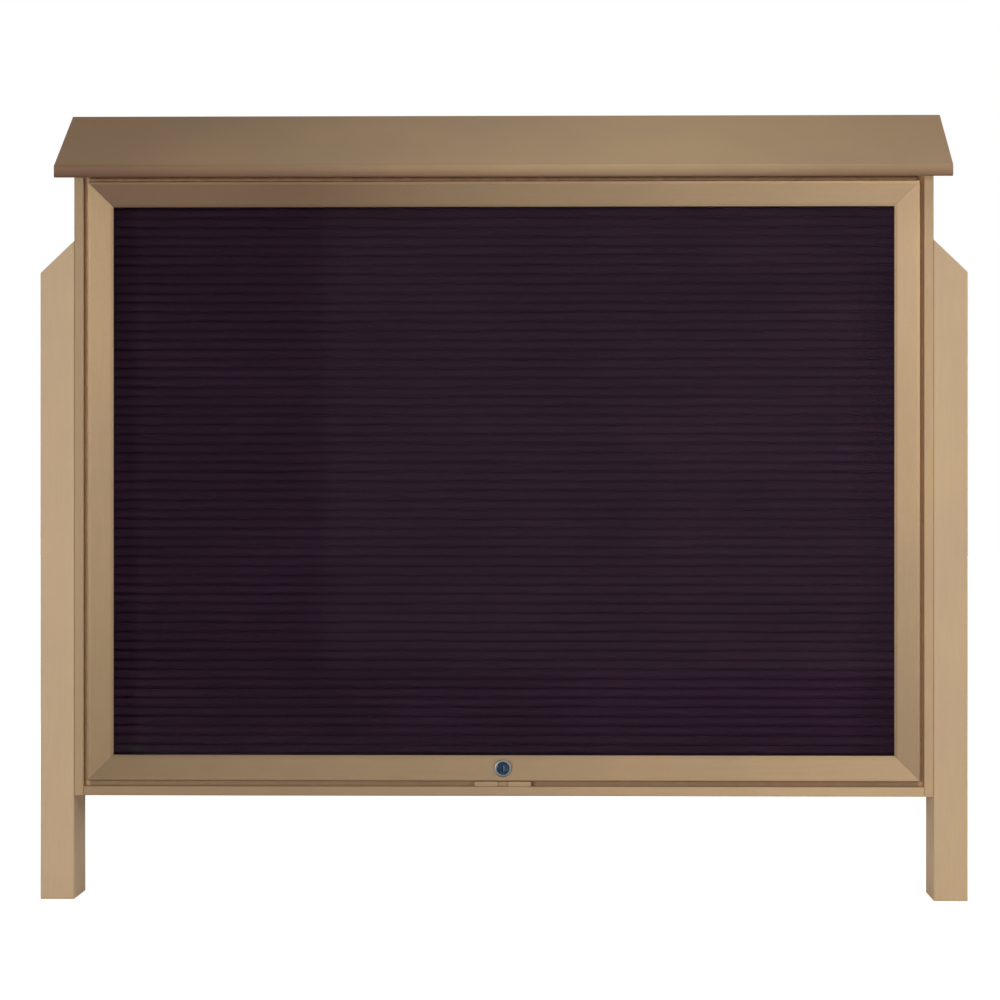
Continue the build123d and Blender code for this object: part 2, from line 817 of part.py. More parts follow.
# Window pane, tape and retainer strips
pane_lap = rebate_width - pane_gap
pane_front = door_back - pane_thickness
with BuildPart() as window_pane:
    with Locations((0, pane_front + pane_thickness / 2, window_middle)):
        Box(2 * (window_half + pane_lap), pane_thickness, window_height + 2 * pane_lap)
finish(window_pane, "window_pane")

with BuildPart() as glazing_tape:
    with BuildSketch(Plane.XZ.offset(-pane_front)):
        with Locations((0, window_middle)):
            Rectangle(2 * (window_half + tape_width), window_height + 2 * tape_width)
            Rectangle(2 * window_half + pane_gap, window_height + pane_gap, mode=Mode.SUBTRACT)
    extrude(amount=tape_thickness)
finish(glazing_tape, "glazing_tape")

with BuildPart() as pane_retainers:
    with BuildSketch(Plane.XZ.offset(-retainer_back)):
        for edge in (-1, 1):
            rail_z = window_middle + edge * (window_height / 2 + retainer_inset + retainer_width / 2)
            with Locations((0, rail_z)):
                Rectangle(2 * (window_half + retainer_outer), retainer_width)
            stile_x = edge * (window_half + retainer_inset + retainer_width / 2)
            with Locations((stile_x, window_middle)):
                Rectangle(retainer_width, window_height + 2 * (retainer_inset - screw_clearance))
    extrude(amount=retainer_thickness)
    sink(retainer_places, retainer_screw)
    drill(door_bracket_places, door_bracket_screw)
    with Locations(*on_face([(0, retainer_back, lock_z)], (0, 1, 0))):
        Hole(barrel_radius + screw_clearance, depth=2 * retainer_thickness)
finish(pane_retainers, "pane_retainers")

make_screws("retainer_screws", retainer_places, retainer_screw)

# Lock, drawn from its front face backwards
lock_front = Plane(origin=(0, flange_front, lock_z), x_dir=(1, 0, 0), z_dir=(0, 1, 0))
with BuildPart() as lock_barrel:
    with BuildSketch(lock_front):
        Circle(flange_radius)
    extrude(amount=flange_thickness)
    chamfer(lock_barrel.edges().group_by(Axis.Y)[0], flange_proud)
    with BuildSketch(lock_front):
        Circle(barrel_radius)
    extrude(amount=barrel_end - flange_front)
    with BuildSketch(lock_front):
        Circle(plug_radius + running_clearance)
    extrude(amount=barrel_end - flange_front, mode=Mode.SUBTRACT)
    with BuildSketch(lock_front):
        Circle(plug_head_radius + running_clearance)
    extrude(amount=plug_head_depth, mode=Mode.SUBTRACT)
finish(lock_barrel, "lock_barrel")

with BuildPart() as lock_nut:
    with BuildSketch(lock_front.offset(retainer_back - flange_front)):
        RegularPolygon(lock_nut_size / 2, 6, major_radius=False)
        Circle(barrel_radius + running_clearance, mode=Mode.SUBTRACT)
    extrude(amount=lock_nut_thickness)
finish(lock_nut, "lock_nut")

with BuildPart() as lock_plug:
    with BuildSketch(lock_front):
        Circle(plug_head_radius)
    extrude(amount=plug_head_depth - running_clearance)
    chamfer(lock_plug.edges().group_by(Axis.Y)[0], plug_chamfer)
    with BuildSketch(lock_front):
        Circle(plug_radius)
    extrude(amount=barrel_end - flange_front)
    with BuildSketch(lock_front):
        Rectangle(cam_square, cam_square)
    extrude(amount=plug_end - flange_front)
    with BuildSketch(lock_front):
        Rectangle(key_slot_width, key_slot_height)
    extrude(amount=key_slot_depth, mode=Mode.SUBTRACT)
    with BuildSketch(lock_front.offset(plug_end - flange_front)):
        Circle(cam_screw_radius + running_clearance)
    extrude(amount=-cam_screw_depth, mode=Mode.SUBTRACT)
finish(lock_plug, "lock_plug")

with BuildPart() as lock_cam:
    with BuildSketch(lock_front.offset(barrel_end - flange_front)) as cam_outline:
        with Locations((cam_reach / 2, 0)):
            Rectangle(cam_reach, cam_width)
        fillet(cam_outline.vertices().group_by(Axis.X)[-1], cam_corner)
        Circle(cam_hub_radius)
        Rectangle(cam_square + 2 * running_clearance, cam_square + 2 * running_clearance, mode=Mode.SUBTRACT)
    extrude(amount=cam_thickness)
finish(lock_cam, "lock_cam")

with BuildPart() as cam_screw:
    with BuildSketch(lock_front.offset(plug_end - flange_front)):
        Circle(cam_washer_radius)
    extrude(amount=cam_washer_thickness)
    with BuildSketch(lock_front.offset(plug_end - flange_front)):
        Circle(cam_screw_radius)
    extrude(amount=-(cam_screw_depth - running_clearance))
    with BuildSketch(lock_front.offset(plug_end + cam_washer_thickness - flange_front)):
        Rectangle(2 * cam_washer_radius, cam_slot_width)
    extrude(amount=-cam_slot_depth, mode=Mode.SUBTRACT)
finish(cam_screw, "cam_screw")

# Gas struts and their brackets, drawn along the strut from the case pivot to the door pivot
stud_reach = eye_width / 2 + eye_side_gap
for side_name, side in SIDES:
    case_point = (side * strut_x, case_pivot[0], case_pivot[1])
    door_point = (side * strut_x, door_pivot[0], door_pivot[1])
    line = Plane(origin=case_point, x_dir=(1, 0, 0), z_dir=(0, strut_dy, strut_dz))
    case_stud = Plane(origin=case_point, z_dir=(side, 0, 0))
    door_stud = Plane(origin=door_point, z_dir=(side, 0, 0))

    with BuildPart() as bracket:
        with BuildSketch(Plane.YZ.offset(side * inner_half)):
            with Locations((case_pivot[0], case_bracket_low + case_bracket_height / 2)):
                RectangleRounded(case_bracket_width, case_bracket_height, bracket_corner)
        extrude(amount=-side * bracket_thickness)
        with BuildSketch(case_stud.offset(stud_reach)):
            Circle(shoulder_radius)
        extrude(amount=strut_side_gap - stud_reach - bracket_thickness)
        with BuildSketch(case_stud.offset(-stud_reach - clip_thickness)):
            Circle(stud_radius)
        extrude(amount=2 * stud_reach + clip_thickness)
        with BuildSketch(case_stud.offset(-stud_reach)):
            Circle(clip_radius)
        extrude(amount=-clip_thickness)
        sink(case_bracket_places[side_name], bracket_screw)
    finish(bracket, f"{side_name}_strut_case_bracket")

    ear_inner = strut_x + stud_reach + shoulder_length
    with BuildPart() as bracket:
        with BuildSketch(Plane.XZ.offset(-retainer_back)):
            plate_outer = ear_inner + bracket_thickness
            plate_inner = strut_x - door_bracket_reach
            with Locations((side * (plate_inner + plate_outer) / 2, door_pivot[1])):
                RectangleRounded(plate_outer - plate_inner, door_bracket_height, bracket_corner)
        extrude(amount=-bracket_thickness)
        with BuildSketch(Plane.YZ.offset(side * ear_inner)):
            with Locations((door_pivot[0], door_pivot[1])):
                Circle(eye_radius)
            with Locations(((retainer_back + door_pivot[0]) / 2, door_pivot[1])):
                Rectangle(stud_rise, 2 * eye_radius)
        extrude(amount=side * bracket_thickness)
        with BuildSketch(door_stud.offset(stud_reach)):
            Circle(shoulder_radius)
        extrude(amount=shoulder_length)
        with BuildSketch(door_stud.offset(-stud_reach - clip_thickness)):
            Circle(stud_radius)
        extrude(amount=2 * stud_reach + clip_thickness)
        with BuildSketch(door_stud.offset(-stud_reach)):
            Circle(clip_radius)
        extrude(amount=-clip_thickness)
        sink(door_bracket_places, door_bracket_screw)
    finish(bracket, f"{side_name}_strut_door_bracket")

    with BuildPart() as tube:
        with BuildSketch(case_stud):
            Circle(eye_radius)
        extrude(amount=eye_width / 2, both=True)
        with BuildSketch(line):
            Circle(eye_width / 2)
        extrude(amount=tube_neck_length)
        with BuildSketch(line.offset(tube_neck_length)):
            Circle(tube_radius)
        extrude(amount=tube_end - tube_neck_length)
        with BuildSketch(line.offset(bore_start)):
            Circle(tube_bore)
        extrude(amount=tube_end - bore_start, mode=Mode.SUBTRACT)
        with BuildSketch(case_stud):
            Circle(stud_radius + running_clearance)
        extrude(amount=eye_width, both=True, mode=Mode.SUBTRACT)
    finish(tube, f"{side_name}_strut_tube")

    with BuildPart() as guide:
        with BuildSketch(line.offset(tube_end)):
            Circle(tube_bore - running_clearance)
            Circle(rod_radius + running_clearance, mode=Mode.SUBTRACT)
        extrude(amount=-guide_length)
    finish(guide, f"{side_name}_strut_guide")

    with BuildPart() as rod:
        with BuildSketch(door_stud):
            Circle(eye_radius)
        extrude(amount=eye_width / 2, both=True)
        with BuildSketch(line.offset(strut_length)):
            Circle(rod_neck_radius)
        extrude(amount=-rod_neck_length)
        with BuildSketch(line.offset(strut_length)):
            Circle(rod_radius)
        extrude(amount=-(strut_length - piston_start))
        with BuildSketch(door_stud):
            Circle(stud_radius + running_clearance)
        extrude(amount=eye_width, both=True, mode=Mode.SUBTRACT)
    finish(rod, f"{side_name}_strut_rod")

    with BuildPart() as piston:
        with BuildSketch(line.offset(piston_start)):
            Circle(tube_bore - running_clearance)
            Circle(rod_radius + running_clearance, mode=Mode.SUBTRACT)
        extrude(amount=piston_length)
    finish(piston, f"{side_name}_strut_piston")

make_screws("case_bracket_screws", case_bracket_places["left"] + case_bracket_places["right"], bracket_screw)
make_screws("door_bracket_screws", door_bracket_places, door_bracket_screw)
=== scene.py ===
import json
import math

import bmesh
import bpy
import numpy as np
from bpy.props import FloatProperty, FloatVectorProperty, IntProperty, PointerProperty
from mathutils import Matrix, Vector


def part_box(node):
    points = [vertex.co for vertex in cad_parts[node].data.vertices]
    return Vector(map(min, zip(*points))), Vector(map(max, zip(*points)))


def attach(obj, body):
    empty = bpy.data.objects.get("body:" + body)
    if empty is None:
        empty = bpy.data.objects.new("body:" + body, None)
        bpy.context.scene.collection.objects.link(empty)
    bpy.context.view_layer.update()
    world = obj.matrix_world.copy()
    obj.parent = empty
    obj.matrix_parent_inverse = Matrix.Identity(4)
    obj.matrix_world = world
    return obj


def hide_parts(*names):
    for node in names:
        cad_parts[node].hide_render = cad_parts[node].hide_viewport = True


bl_info = {
    "name": "Freestanding Letter Board",
    "version": (1, 0, 0),
    "blender": (4, 5, 0),
    "location": "View3D > Sidebar > Letter Board",
    "description": "Dresses a notice case on two posts: boards, window door, letter strips, lock and struts",
    "category": "Add Mesh",
}

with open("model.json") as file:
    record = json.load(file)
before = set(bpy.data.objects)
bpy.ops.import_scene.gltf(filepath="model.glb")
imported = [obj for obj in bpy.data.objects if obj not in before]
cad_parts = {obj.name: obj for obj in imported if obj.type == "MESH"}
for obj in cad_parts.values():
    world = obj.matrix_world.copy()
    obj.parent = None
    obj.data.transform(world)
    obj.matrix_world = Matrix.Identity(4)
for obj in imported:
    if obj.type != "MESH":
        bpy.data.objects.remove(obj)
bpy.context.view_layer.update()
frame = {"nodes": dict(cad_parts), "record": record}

RECORD = frame["record"]
BODY_OF = {node: body for body, nodes in RECORD["behaviour"]["bodies"].items() for node in nodes}

# Pieces of sheet, by the way their grain runs
POSTS = ("left_post", "right_post")
UPRIGHT_BOARDS = ("left_side_panel", "right_side_panel", "left_stop", "right_stop", "board_battens")
SILL_BOARDS = ("bottom_panel", "keeper_block")
LEVEL_BOARDS = ("top_panel", "back_panel", "roof_cleats", "top_stop", "bottom_stop")
STILES = ("door_left_stile", "door_right_stile")

# Groups of screws, and the metal pieces that keep their CAD shape
SCREW_GROUPS = (
    "roof_cleat_screws", "panel_screws", "back_screws", "letter_board_screws", "stop_screws", "strike_screws",
    "hinge_case_screws", "case_bracket_screws", "mitre_screws", "retainer_screws", "hinge_door_screws",
    "door_bracket_screws",
)
STEEL_PIECES = (
    "post_bolts", "post_bolt_washers", "post_bolt_nuts", "strike_plate", "lock_cam", "lock_nut", "cam_screw",
    "left_strut_case_bracket", "right_strut_case_bracket", "left_strut_door_bracket",
    "right_strut_door_bracket",
)
HINGE_PIECES = ("hinge_case_leaf", "hinge_door_leaf", "hinge_pin")
SIDES = ("left", "right")

# Limits used when a solid's mesh is copied, in metres and radians
MERGE_DISTANCE = 1e-6
FLAT_ANGLE = math.radians(0.3)
SHARP_ANGLE = math.radians(35.0)
LONG_EDGE = 0.012
NARROW_FACE = 0.0015
SAME_RADIUS = 1e-5

# Angles past which an edge of the scene's own meshes stays sharp
TURNED_CREASE = math.radians(32.0)
STRIP_CREASE = math.radians(38.0)
SEAL_CREASE = math.radians(40.0)

# Section of the seal's bulb: facets of its round, and the share of its depth that is a straight foot
SEAL_FACETS = 8
SEAL_FOOT = 0.35

# Half-widths of a square ring, as shares of its size, and the facets of turned pieces and of a rounded edge
SQUARE = (1.0, 1.0)
SCREW_FACETS = 16
TURNED_FACETS = 64
ROUND_STEPS = 5

# A screw's shank, as a share of its head's radius
SCREW_SHANK = 0.52

# A point on the rounded front edges of the seal's fin, as a share of the rounding
FIN_BROW = 0.3

# The lock: its ring's tone against the chrome, the plug's square shank as a share of the plug's radius,
# and the play and the dish of the plug's face as shares of the face's depth
RING_TONE = 0.46
PLUG_SHANK = 0.6
FACE_PLAY = 1 / 30
FACE_DISH = 0.12

# Depths behind the letter strips' front between which the grooves' walls are painted lighter, lifting their
# shade, in metres
GROOVE_LIGHT_DEPTHS = (0.0012, 0.0030)

# Light of the studio, the point that its lamps aim at, and the camera's sensor in millimetres
WHITE = (1.0, 1.0, 1.0, 1.0)
WARM_WHITE = (1.0, 0.99, 0.97, 1.0)
LAMP_TARGET = (0.0, 0.0, 0.55)
SENSOR_WIDTH = 36.0

# Soft lamps: name, the setting that holds the power, place, and width and height
LAMPS = (
    ("front_light", "front_power", (-1.8, -3.0, 0.5), (1.2, 1.2)),
    ("far_light", "far_power", (0.3, -6.5, 0.8), (2.0, 2.0)),
    ("right_light", "right_power", (1.6, -1.6, 0.9), (0.8, 0.8)),
    ("top_light", "top_power", (0.3, -0.5, 3.0), (1.5, 1.0)),
    ("slope_light", "slope_power", (1.5, -0.8, 2.2), (0.8, 0.8)),
    ("back_light_left", "back_power", (-2.4, 2.8, 1.7), (1.6, 1.6)),
    ("back_light_right", "back_power", (2.8, 2.2, 1.5), (1.6, 1.6)),
)

# What like settings share: lengths in metres, colours in linear light, and gradients of painted light and
# shade along an axis
LENGTH = {"unit": "LENGTH", "precision": 5}
COLOUR = {"subtype": "COLOR", "size": 3, "min": 0, "max": 1}
PAINTED_GRADIENT = {"size": 4, "precision": 4}


class LetterBoardSizes(bpy.types.PropertyGroup):
    """Sizes of the finish that the solids leave plain."""

    edge_softness: FloatProperty(
        name="Edge softness", description="Width of the eased edges of the sheet boards",
        default=0.0008, **LENGTH)
    mitre_softness: FloatProperty(
        name="Mitre softness",
        description="Width of the eased edges of the door frame, which show as its mitre lines",
        default=0.0003, **LENGTH)
    band_height: FloatProperty(
        name="Band height", description="Height of the plain band above and below the letter grooves",
        default=0.0080, **LENGTH)
    seal_width: FloatProperty(
        name="Seal width", description="Width of the soft bulb behind the door's edge",
        default=0.0052, **LENGTH)
    seal_gap: FloatProperty(
        name="Seal gap", description="Room between the soft bulb and the back of the closed door",
        default=0.0003, **LENGTH)
    fin_gap: FloatProperty(
        name="Fin gap", description="Room between the door's edge and the fin that fills the gap round it",
        default=0.0006, **LENGTH)
    fin_rounding: FloatProperty(
        name="Fin rounding", description="How far the fin's front edges are rounded back",
        default=0.0008, **LENGTH)
    groove_pitch: FloatProperty(
        name="Groove pitch", description="Height from one letter groove to the next",
        default=0.0127, **LENGTH)
    groove_width: FloatProperty(
        name="Groove width", description="Height of the mouth of a letter groove", default=0.0016, **LENGTH)
    groove_depth: FloatProperty(
        name="Groove depth", description="Depth of a letter groove", default=0.0070, **LENGTH)
    strip_crown: FloatProperty(
        name="Strip crown", description="How far the middle of a strip between two grooves stands proud",
        default=0.0004, **LENGTH)
    strip_rounding: FloatProperty(
        name="Strip rounding", description="Radius of a strip's long edges", default=0.0005, **LENGTH)
    screw_dome: FloatProperty(
        name="Screw dome", description="How far a screw head stands proud at its middle",
        default=0.00025, **LENGTH)
    recess_share: FloatProperty(
        name="Drive size", description="Width of the square drive as a share of the head's radius",
        default=0.36, subtype="FACTOR", min=0.1, max=0.6)
    ring_rounding: FloatProperty(
        name="Ring rounding", description="Radius of the lock ring's front edge", default=0.0014, **LENGTH)
    ring_depth: FloatProperty(
        name="Ring depth", description="Depth of the lock ring, from its face to its seat in the door",
        default=0.0072, **LENGTH)
    barrel_radius: FloatProperty(
        name="Barrel radius", description="Radius of the lock's threaded barrel", default=0.0070, **LENGTH)
    thread_pitch: FloatProperty(
        name="Thread pitch", description="Pitch of the barrel's thread", default=0.0010, **LENGTH)
    plug_radius: FloatProperty(
        name="Plug radius", description="Radius of the lock's plug behind its face", default=0.0055, **LENGTH)
    plug_face_depth: FloatProperty(
        name="Plug face depth", description="Depth of the plug's wide face", default=0.0029, **LENGTH)
    key_slot: FloatVectorProperty(
        name="Key slot", description="Width, height and depth of the key slot",
        default=(0.0018, 0.0090, 0.0120), subtype="XYZ", size=3, unit="LENGTH", precision=5)
    screw_seed: IntProperty(
        name="Screw seed", description="Seed of the angle at which each screw stopped turning", default=7)


class LetterBoardColours(bpy.types.PropertyGroup):
    """Colours of the finishes, in linear light."""

    sheet: FloatVectorProperty(
        name="Sheet", description="Tan sheet of the case and the door",
        default=(0.480, 0.325, 0.185), **COLOUR)
    # Painted light: the posts are the same tan plastic as the sheet, given a lighter colour so that they read
    # evenly and brightly lit.
    post: FloatVectorProperty(
        name="Post", description="Lighter tan of the posts", default=(0.572, 0.404, 0.245), **COLOUR)
    # Painted shade and light: the roof, the stiles and the rails are the sheet's tan made darker or lighter
    # by these tones, for how the lamps fall on their faces.
    roof_shade_tone: FloatProperty(
        name="Roof tone", description="Tone of the roof board against the sheet colour", default=0.80)
    stile_light_tone: FloatProperty(
        name="Stile tone", description="Tone of the door's stiles against the sheet colour", default=1.05)
    top_rail_shade_tone: FloatProperty(
        name="Top rail tone", description="Tone of the door's top rail against the sheet colour",
        default=0.615)
    bottom_rail_shade_tone: FloatProperty(
        name="Bottom rail tone", description="Tone of the door's bottom rail against the sheet colour",
        default=0.82)
    strips: FloatVectorProperty(
        name="Letter strips", description="Dark grooved letter board",
        default=(0.0154, 0.0060, 0.0136), **COLOUR)
    # Painted light: the grooves' walls are made paler, lifting the shade deep in the grooves.
    groove_light_tone: FloatProperty(
        name="Groove tone", description="Tone of the grooves' walls against the strips' faces", default=2.5)
    # Painted shade: where the painted shade dims the roof or the top rail, it also takes out some green and
    # blue.
    dim_shade_warmth: FloatProperty(
        name="Dim warmth",
        description="How much of its green and blue a dim end of the roof or top rail loses",
        default=0.32)
    # Painted shade along each strip's long edges, and painted light along its middle.
    strip_edge_shade: FloatProperty(
        name="Strip edge tone", description="Tone of a strip's long edges against the mean of its face",
        default=0.80)
    rubber: FloatVectorProperty(
        name="Rubber", description="Brown foam of the seal and the glazing tape",
        default=(0.30, 0.19, 0.11), **COLOUR)
    bronze: FloatVectorProperty(
        name="Bronze", description="Brown paint of the hinge", default=(0.370, 0.198, 0.092), **COLOUR)
    steel: FloatVectorProperty(
        name="Stainless steel", description="Screws, bolts and brackets",
        default=(0.56, 0.55, 0.53), **COLOUR)
    chrome: FloatVectorProperty(
        name="Chrome", description="Lock ring and strut rods", default=(0.72, 0.73, 0.75), **COLOUR)
    # Painted reflection: the plug's plated face is given a dark bluish colour that stands in for the dark
    # reflection it shows.
    plug: FloatVectorProperty(
        name="Lock plug", description="Dark bluish face of the lock's plug",
        default=(0.045, 0.075, 0.125), **COLOUR)
    strut_paint: FloatVectorProperty(
        name="Strut paint", description="Black paint of the strut tubes",
        default=(0.012, 0.012, 0.013), **COLOUR)


class LetterBoardPaintedLight(bpy.types.PropertyGroup):
    """Painted light and shade: how the finishes lighten or darken along an axis, for how the lamps fall on
    them: start, end, tone at the start and tone at the end.
    """

    # Painted light on the case: darker at its left, lighter at its right.
    case_along: FloatVectorProperty(
        name="Case along", description="Fade of the case from its left to its right",
        default=(-0.55, 0.55, 0.90, 1.10), **PAINTED_GRADIENT)
    # Painted light and shade on the roof: darker at its left and towards its right end, a little lighter low
    # on the slope, and painted shade on its rounded nose, darkest at the left.
    roof_along: FloatVectorProperty(
        name="Roof along", description="Fade of the roof from its left to past its middle",
        default=(-0.50, 0.15, 0.80, 1.19), **PAINTED_GRADIENT)
    roof_end: FloatVectorProperty(
        name="Roof end", description="Fade of the roof towards its right end",
        default=(0.25, 0.52, 1.0, 0.80), **PAINTED_GRADIENT)
    roof_up: FloatVectorProperty(
        name="Roof up", description="Fade of the roof's slope, from its eave's height",
        default=(0.025, 0.095, 1.04, 0.97), **PAINTED_GRADIENT)
    nose_along: FloatVectorProperty(
        name="Nose along", description="Fade of the roof's rounded nose from its left to its middle",
        default=(-0.50, 0.05, 0.70, 0.90), **PAINTED_GRADIENT)
    nose_up: FloatVectorProperty(
        name="Nose up", description="Where the nose's fade ends, from its eave's height",
        default=(0.0145, 0.0180), size=2, precision=4)
    # Painted shade on the lower part of the roof's nose, darkest at the eave's bottom edge, where the nose
    # turns down.
    drip: FloatVectorProperty(
        name="Drip", description="Fade of the roof's drip edge, from its eave's height",
        default=(0.0, 0.0110, 0.58, 1.0), **PAINTED_GRADIENT)
    # Painted light and shade on the top rail: darkest at its left, lighter towards its right end.
    top_rail_along: FloatVectorProperty(
        name="Top rail along", description="Fade of the door's top rail to its right end",
        default=(-0.27, 0.55, 0.70, 1.88), **PAINTED_GRADIENT)
    # Painted highlight along the door's top edge.
    top_rail_highlight: FloatVectorProperty(
        name="Top rail edge", description="Fade of the top rail's upper edge, down from the door's top",
        default=(-0.0054, -0.0018, 1.0, 1.42), **PAINTED_GRADIENT)
    # Painted light on the bottom rail and the bottom panel: darker at the left, lighter at the right.
    bottom_rail_along: FloatVectorProperty(
        name="Bottom rail along", description="Fade of the door's bottom rail from its left to its right",
        default=(-0.55, 0.55, 0.66, 1.36), **PAINTED_GRADIENT)
    sill_along: FloatVectorProperty(
        name="Sill along", description="Fade of the bottom panel from its left to its right",
        default=(-0.30, 0.40, 0.72, 1.22), **PAINTED_GRADIENT)
    # Painted light on the stiles: the right stile lighter than the left, and each stile darker low down and
    # lighter near its top.
    stile_along: FloatVectorProperty(
        name="Stile along", description="Fade from the left stile to the right one",
        default=(-0.55, 0.55, 0.93, 1.07), **PAINTED_GRADIENT)
    stile_up: FloatVectorProperty(
        name="Stile up", description="Fade of a stile from its low end to its high end",
        default=(0.16, 0.956, 0.72, 1.28), **PAINTED_GRADIENT)
    # Painted shade on the hinge's upper part, in the shade under the roof's nose.
    hinge_shade: FloatVectorProperty(
        name="Hinge up", description="Fade of the hinge, up from the door's top",
        default=(0.0008, 0.0028, 1.0, 0.50), **PAINTED_GRADIENT)
    # Painted light on the seal's fins beside the door, lifting the shade in the gaps there.
    seal_left_light: FloatVectorProperty(
        name="Seal left", description="Fade of the seal at the left of the door",
        default=(-0.5545, -0.5500, 2.3, 1.0), **PAINTED_GRADIENT)
    seal_right_light: FloatVectorProperty(
        name="Seal right", description="Fade of the seal at the right of the door",
        default=(0.5500, 0.5545, 1.0, 2.0), **PAINTED_GRADIENT)
    # Painted light and shade on the letter strips: lifted at both ends and near the bottom and top, where the
    # frame shades them, and darker towards the left than the right.
    strips_left: FloatVectorProperty(
        name="Strips left", description="Fade of the letter strips at their left end",
        default=(-0.521, -0.475, 2.4, 1.0), **PAINTED_GRADIENT)
    strips_along: FloatVectorProperty(
        name="Strips along", description="Fade of the letter strips from the left towards the middle",
        default=(-0.25, 0.05, 0.84, 0.98), **PAINTED_GRADIENT)
    strips_far: FloatVectorProperty(
        name="Strips far", description="Fade of the letter strips' right half",
        default=(0.05, 0.42, 1.0, 1.16), **PAINTED_GRADIENT)
    strips_right: FloatVectorProperty(
        name="Strips right", description="Fade of the letter strips at their right end",
        default=(0.44, 0.52, 1.0, 1.5), **PAINTED_GRADIENT)
    strips_low: FloatVectorProperty(
        name="Strips low", description="Fade of the letter strips at the bottom of the board",
        default=(0.18, 0.30, 1.22, 1.0), **PAINTED_GRADIENT)
    strips_high: FloatVectorProperty(
        name="Strips high", description="Fade of the letter strips at the top of the board",
        default=(0.80, 0.93, 1.0, 1.18), **PAINTED_GRADIENT)


class LetterBoardStage(bpy.types.PropertyGroup):
    """Camera, lights and floor."""

    camera_place: FloatVectorProperty(
        name="Camera place", description="Where the camera stands",
        default=(0.10683, -4.966, 0.53213), subtype="TRANSLATION", size=3, unit="LENGTH")
    camera_turn: FloatProperty(
        name="Camera turn", description="Turn of the level camera about the vertical",
        default=math.radians(1.291), subtype="ANGLE")
    camera_lens: FloatProperty(
        name="Camera lens", description="Focal length on a 36 mm sensor, in millimetres", default=132.9)
    front_power: FloatProperty(
        name="Front power", description="Power of the soft light low in front at the left",
        default=45.0, unit="POWER")
    far_power: FloatProperty(
        name="Far power", description="Power of the wide light behind the camera", default=8.2, unit="POWER")
    right_power: FloatProperty(
        name="Right power", description="Power of the soft light at the right", default=10.4, unit="POWER")
    top_power: FloatProperty(
        name="Top power", description="Power of the light overhead", default=14.5, unit="POWER")
    slope_power: FloatProperty(
        name="Slope power", description="Power of the light on the roof from the upper right",
        default=7.5, unit="POWER")
    back_power: FloatProperty(
        name="Back power", description="Power of each of the two lights behind the board",
        default=30.0, unit="POWER")
    sky_strength: FloatProperty(
        name="Sky strength", description="Strength of the even light from all round", default=0.16)
    gloss_strength: FloatProperty(
        name="Gloss strength", description="Strength of the white room that glossy surfaces reflect",
        default=0.25)
    floor_lift: FloatProperty(
        name="Floor lift",
        description="How far the near floor is lifted towards white where the camera sees it",
        default=0.78)
    floor_near: FloatProperty(
        name="Near floor", description="Distance within which the floor keeps its soft shadows",
        default=1.2, unit="LENGTH")
    floor_far: FloatProperty(
        name="Far floor", description="Distance beyond which the floor is white", default=4.0, unit="LENGTH")
    floor_size: FloatProperty(
        name="Floor size", description="Width of the floor", default=60.0, unit="LENGTH")


class LetterBoardSettings(bpy.types.PropertyGroup):
    """All settings of the letter board."""

    sizes: PointerProperty(type=LetterBoardSizes)
    colours: PointerProperty(type=LetterBoardColours)
    painted_light: PointerProperty(type=LetterBoardPaintedLight)
    stage: PointerProperty(type=LetterBoardStage)


# Node helpers

def set_inputs(tree, node, inputs):
    """Set a node's inputs; each is a value, or a socket to link from."""
    for key, value in inputs.items():
        if isinstance(value, bpy.types.NodeSocket):
            tree.links.new(value, node.inputs[key])
        else:
            node.inputs[key].default_value = value


def add_node(tree, kind, inputs=None, **settings):
    """Add a node with its settings and inputs."""
    made = tree.nodes.new(kind)
    for key, value in settings.items():
        setattr(made, key, value)
    set_inputs(tree, made, inputs or {})
    return made


def node_math(tree, operation, first, second):
    """Two values or patterns joined by one step of arithmetic."""
    return add_node(tree, "ShaderNodeMath", {0: first, 1: second}, operation=operation).outputs["Value"]


def new_material(name):
    """An empty material with its tree, its surface shader and its object coordinates."""
    material = bpy.data.materials.new(name)
    material.use_nodes = True
    tree = material.node_tree
    tree.nodes.clear()
    shader = add_node(tree, "ShaderNodeBsdfPrincipled")
    add_node(tree, "ShaderNodeOutputMaterial", {"Surface": shader.outputs["BSDF"]})
    place = add_node(tree, "ShaderNodeTexCoord").outputs["Object"]
    return material, tree, shader, place


def mix_surfaces(tree, share, first, second):
    """Two surfaces, mixed by a share."""
    return add_node(tree, "ShaderNodeMixShader", {0: share, 1: first, 2: second}).outputs["Shader"]


def show(tree, surface):
    """Send a surface to the material's output."""
    output = [node for node in tree.nodes if node.type == "OUTPUT_MATERIAL"][0]
    tree.links.new(surface, output.inputs["Surface"])


def scaled(tree, place, scale):
    """Object coordinates stretched by a scale along each axis."""
    return add_node(tree, "ShaderNodeMapping", {"Vector": place, "Scale": scale}).outputs["Vector"]


def grained(tree, place, axis, across, lengthwise):
    """Object coordinates with one scale across the grain and another along its axis."""
    scale = [across] * 3
    scale[axis] = lengthwise
    return scaled(tree, place, scale)


def noise(tree, place, scale, detail=4.0, roughness=0.55):
    """A soft pattern from 0 to 1."""
    inputs = {"Vector": place, "Scale": scale, "Detail": detail, "Roughness": roughness}
    return add_node(tree, "ShaderNodeTexNoise", inputs).outputs["Fac"]


def remap(tree, value, low, high, start=0.3, end=0.7):
    """A pattern's range from start to end, spread from low to high."""
    inputs = {"Value": value, "From Min": start, "From Max": end, "To Min": low, "To Max": high}
    return add_node(tree, "ShaderNodeMapRange", inputs).outputs["Result"]


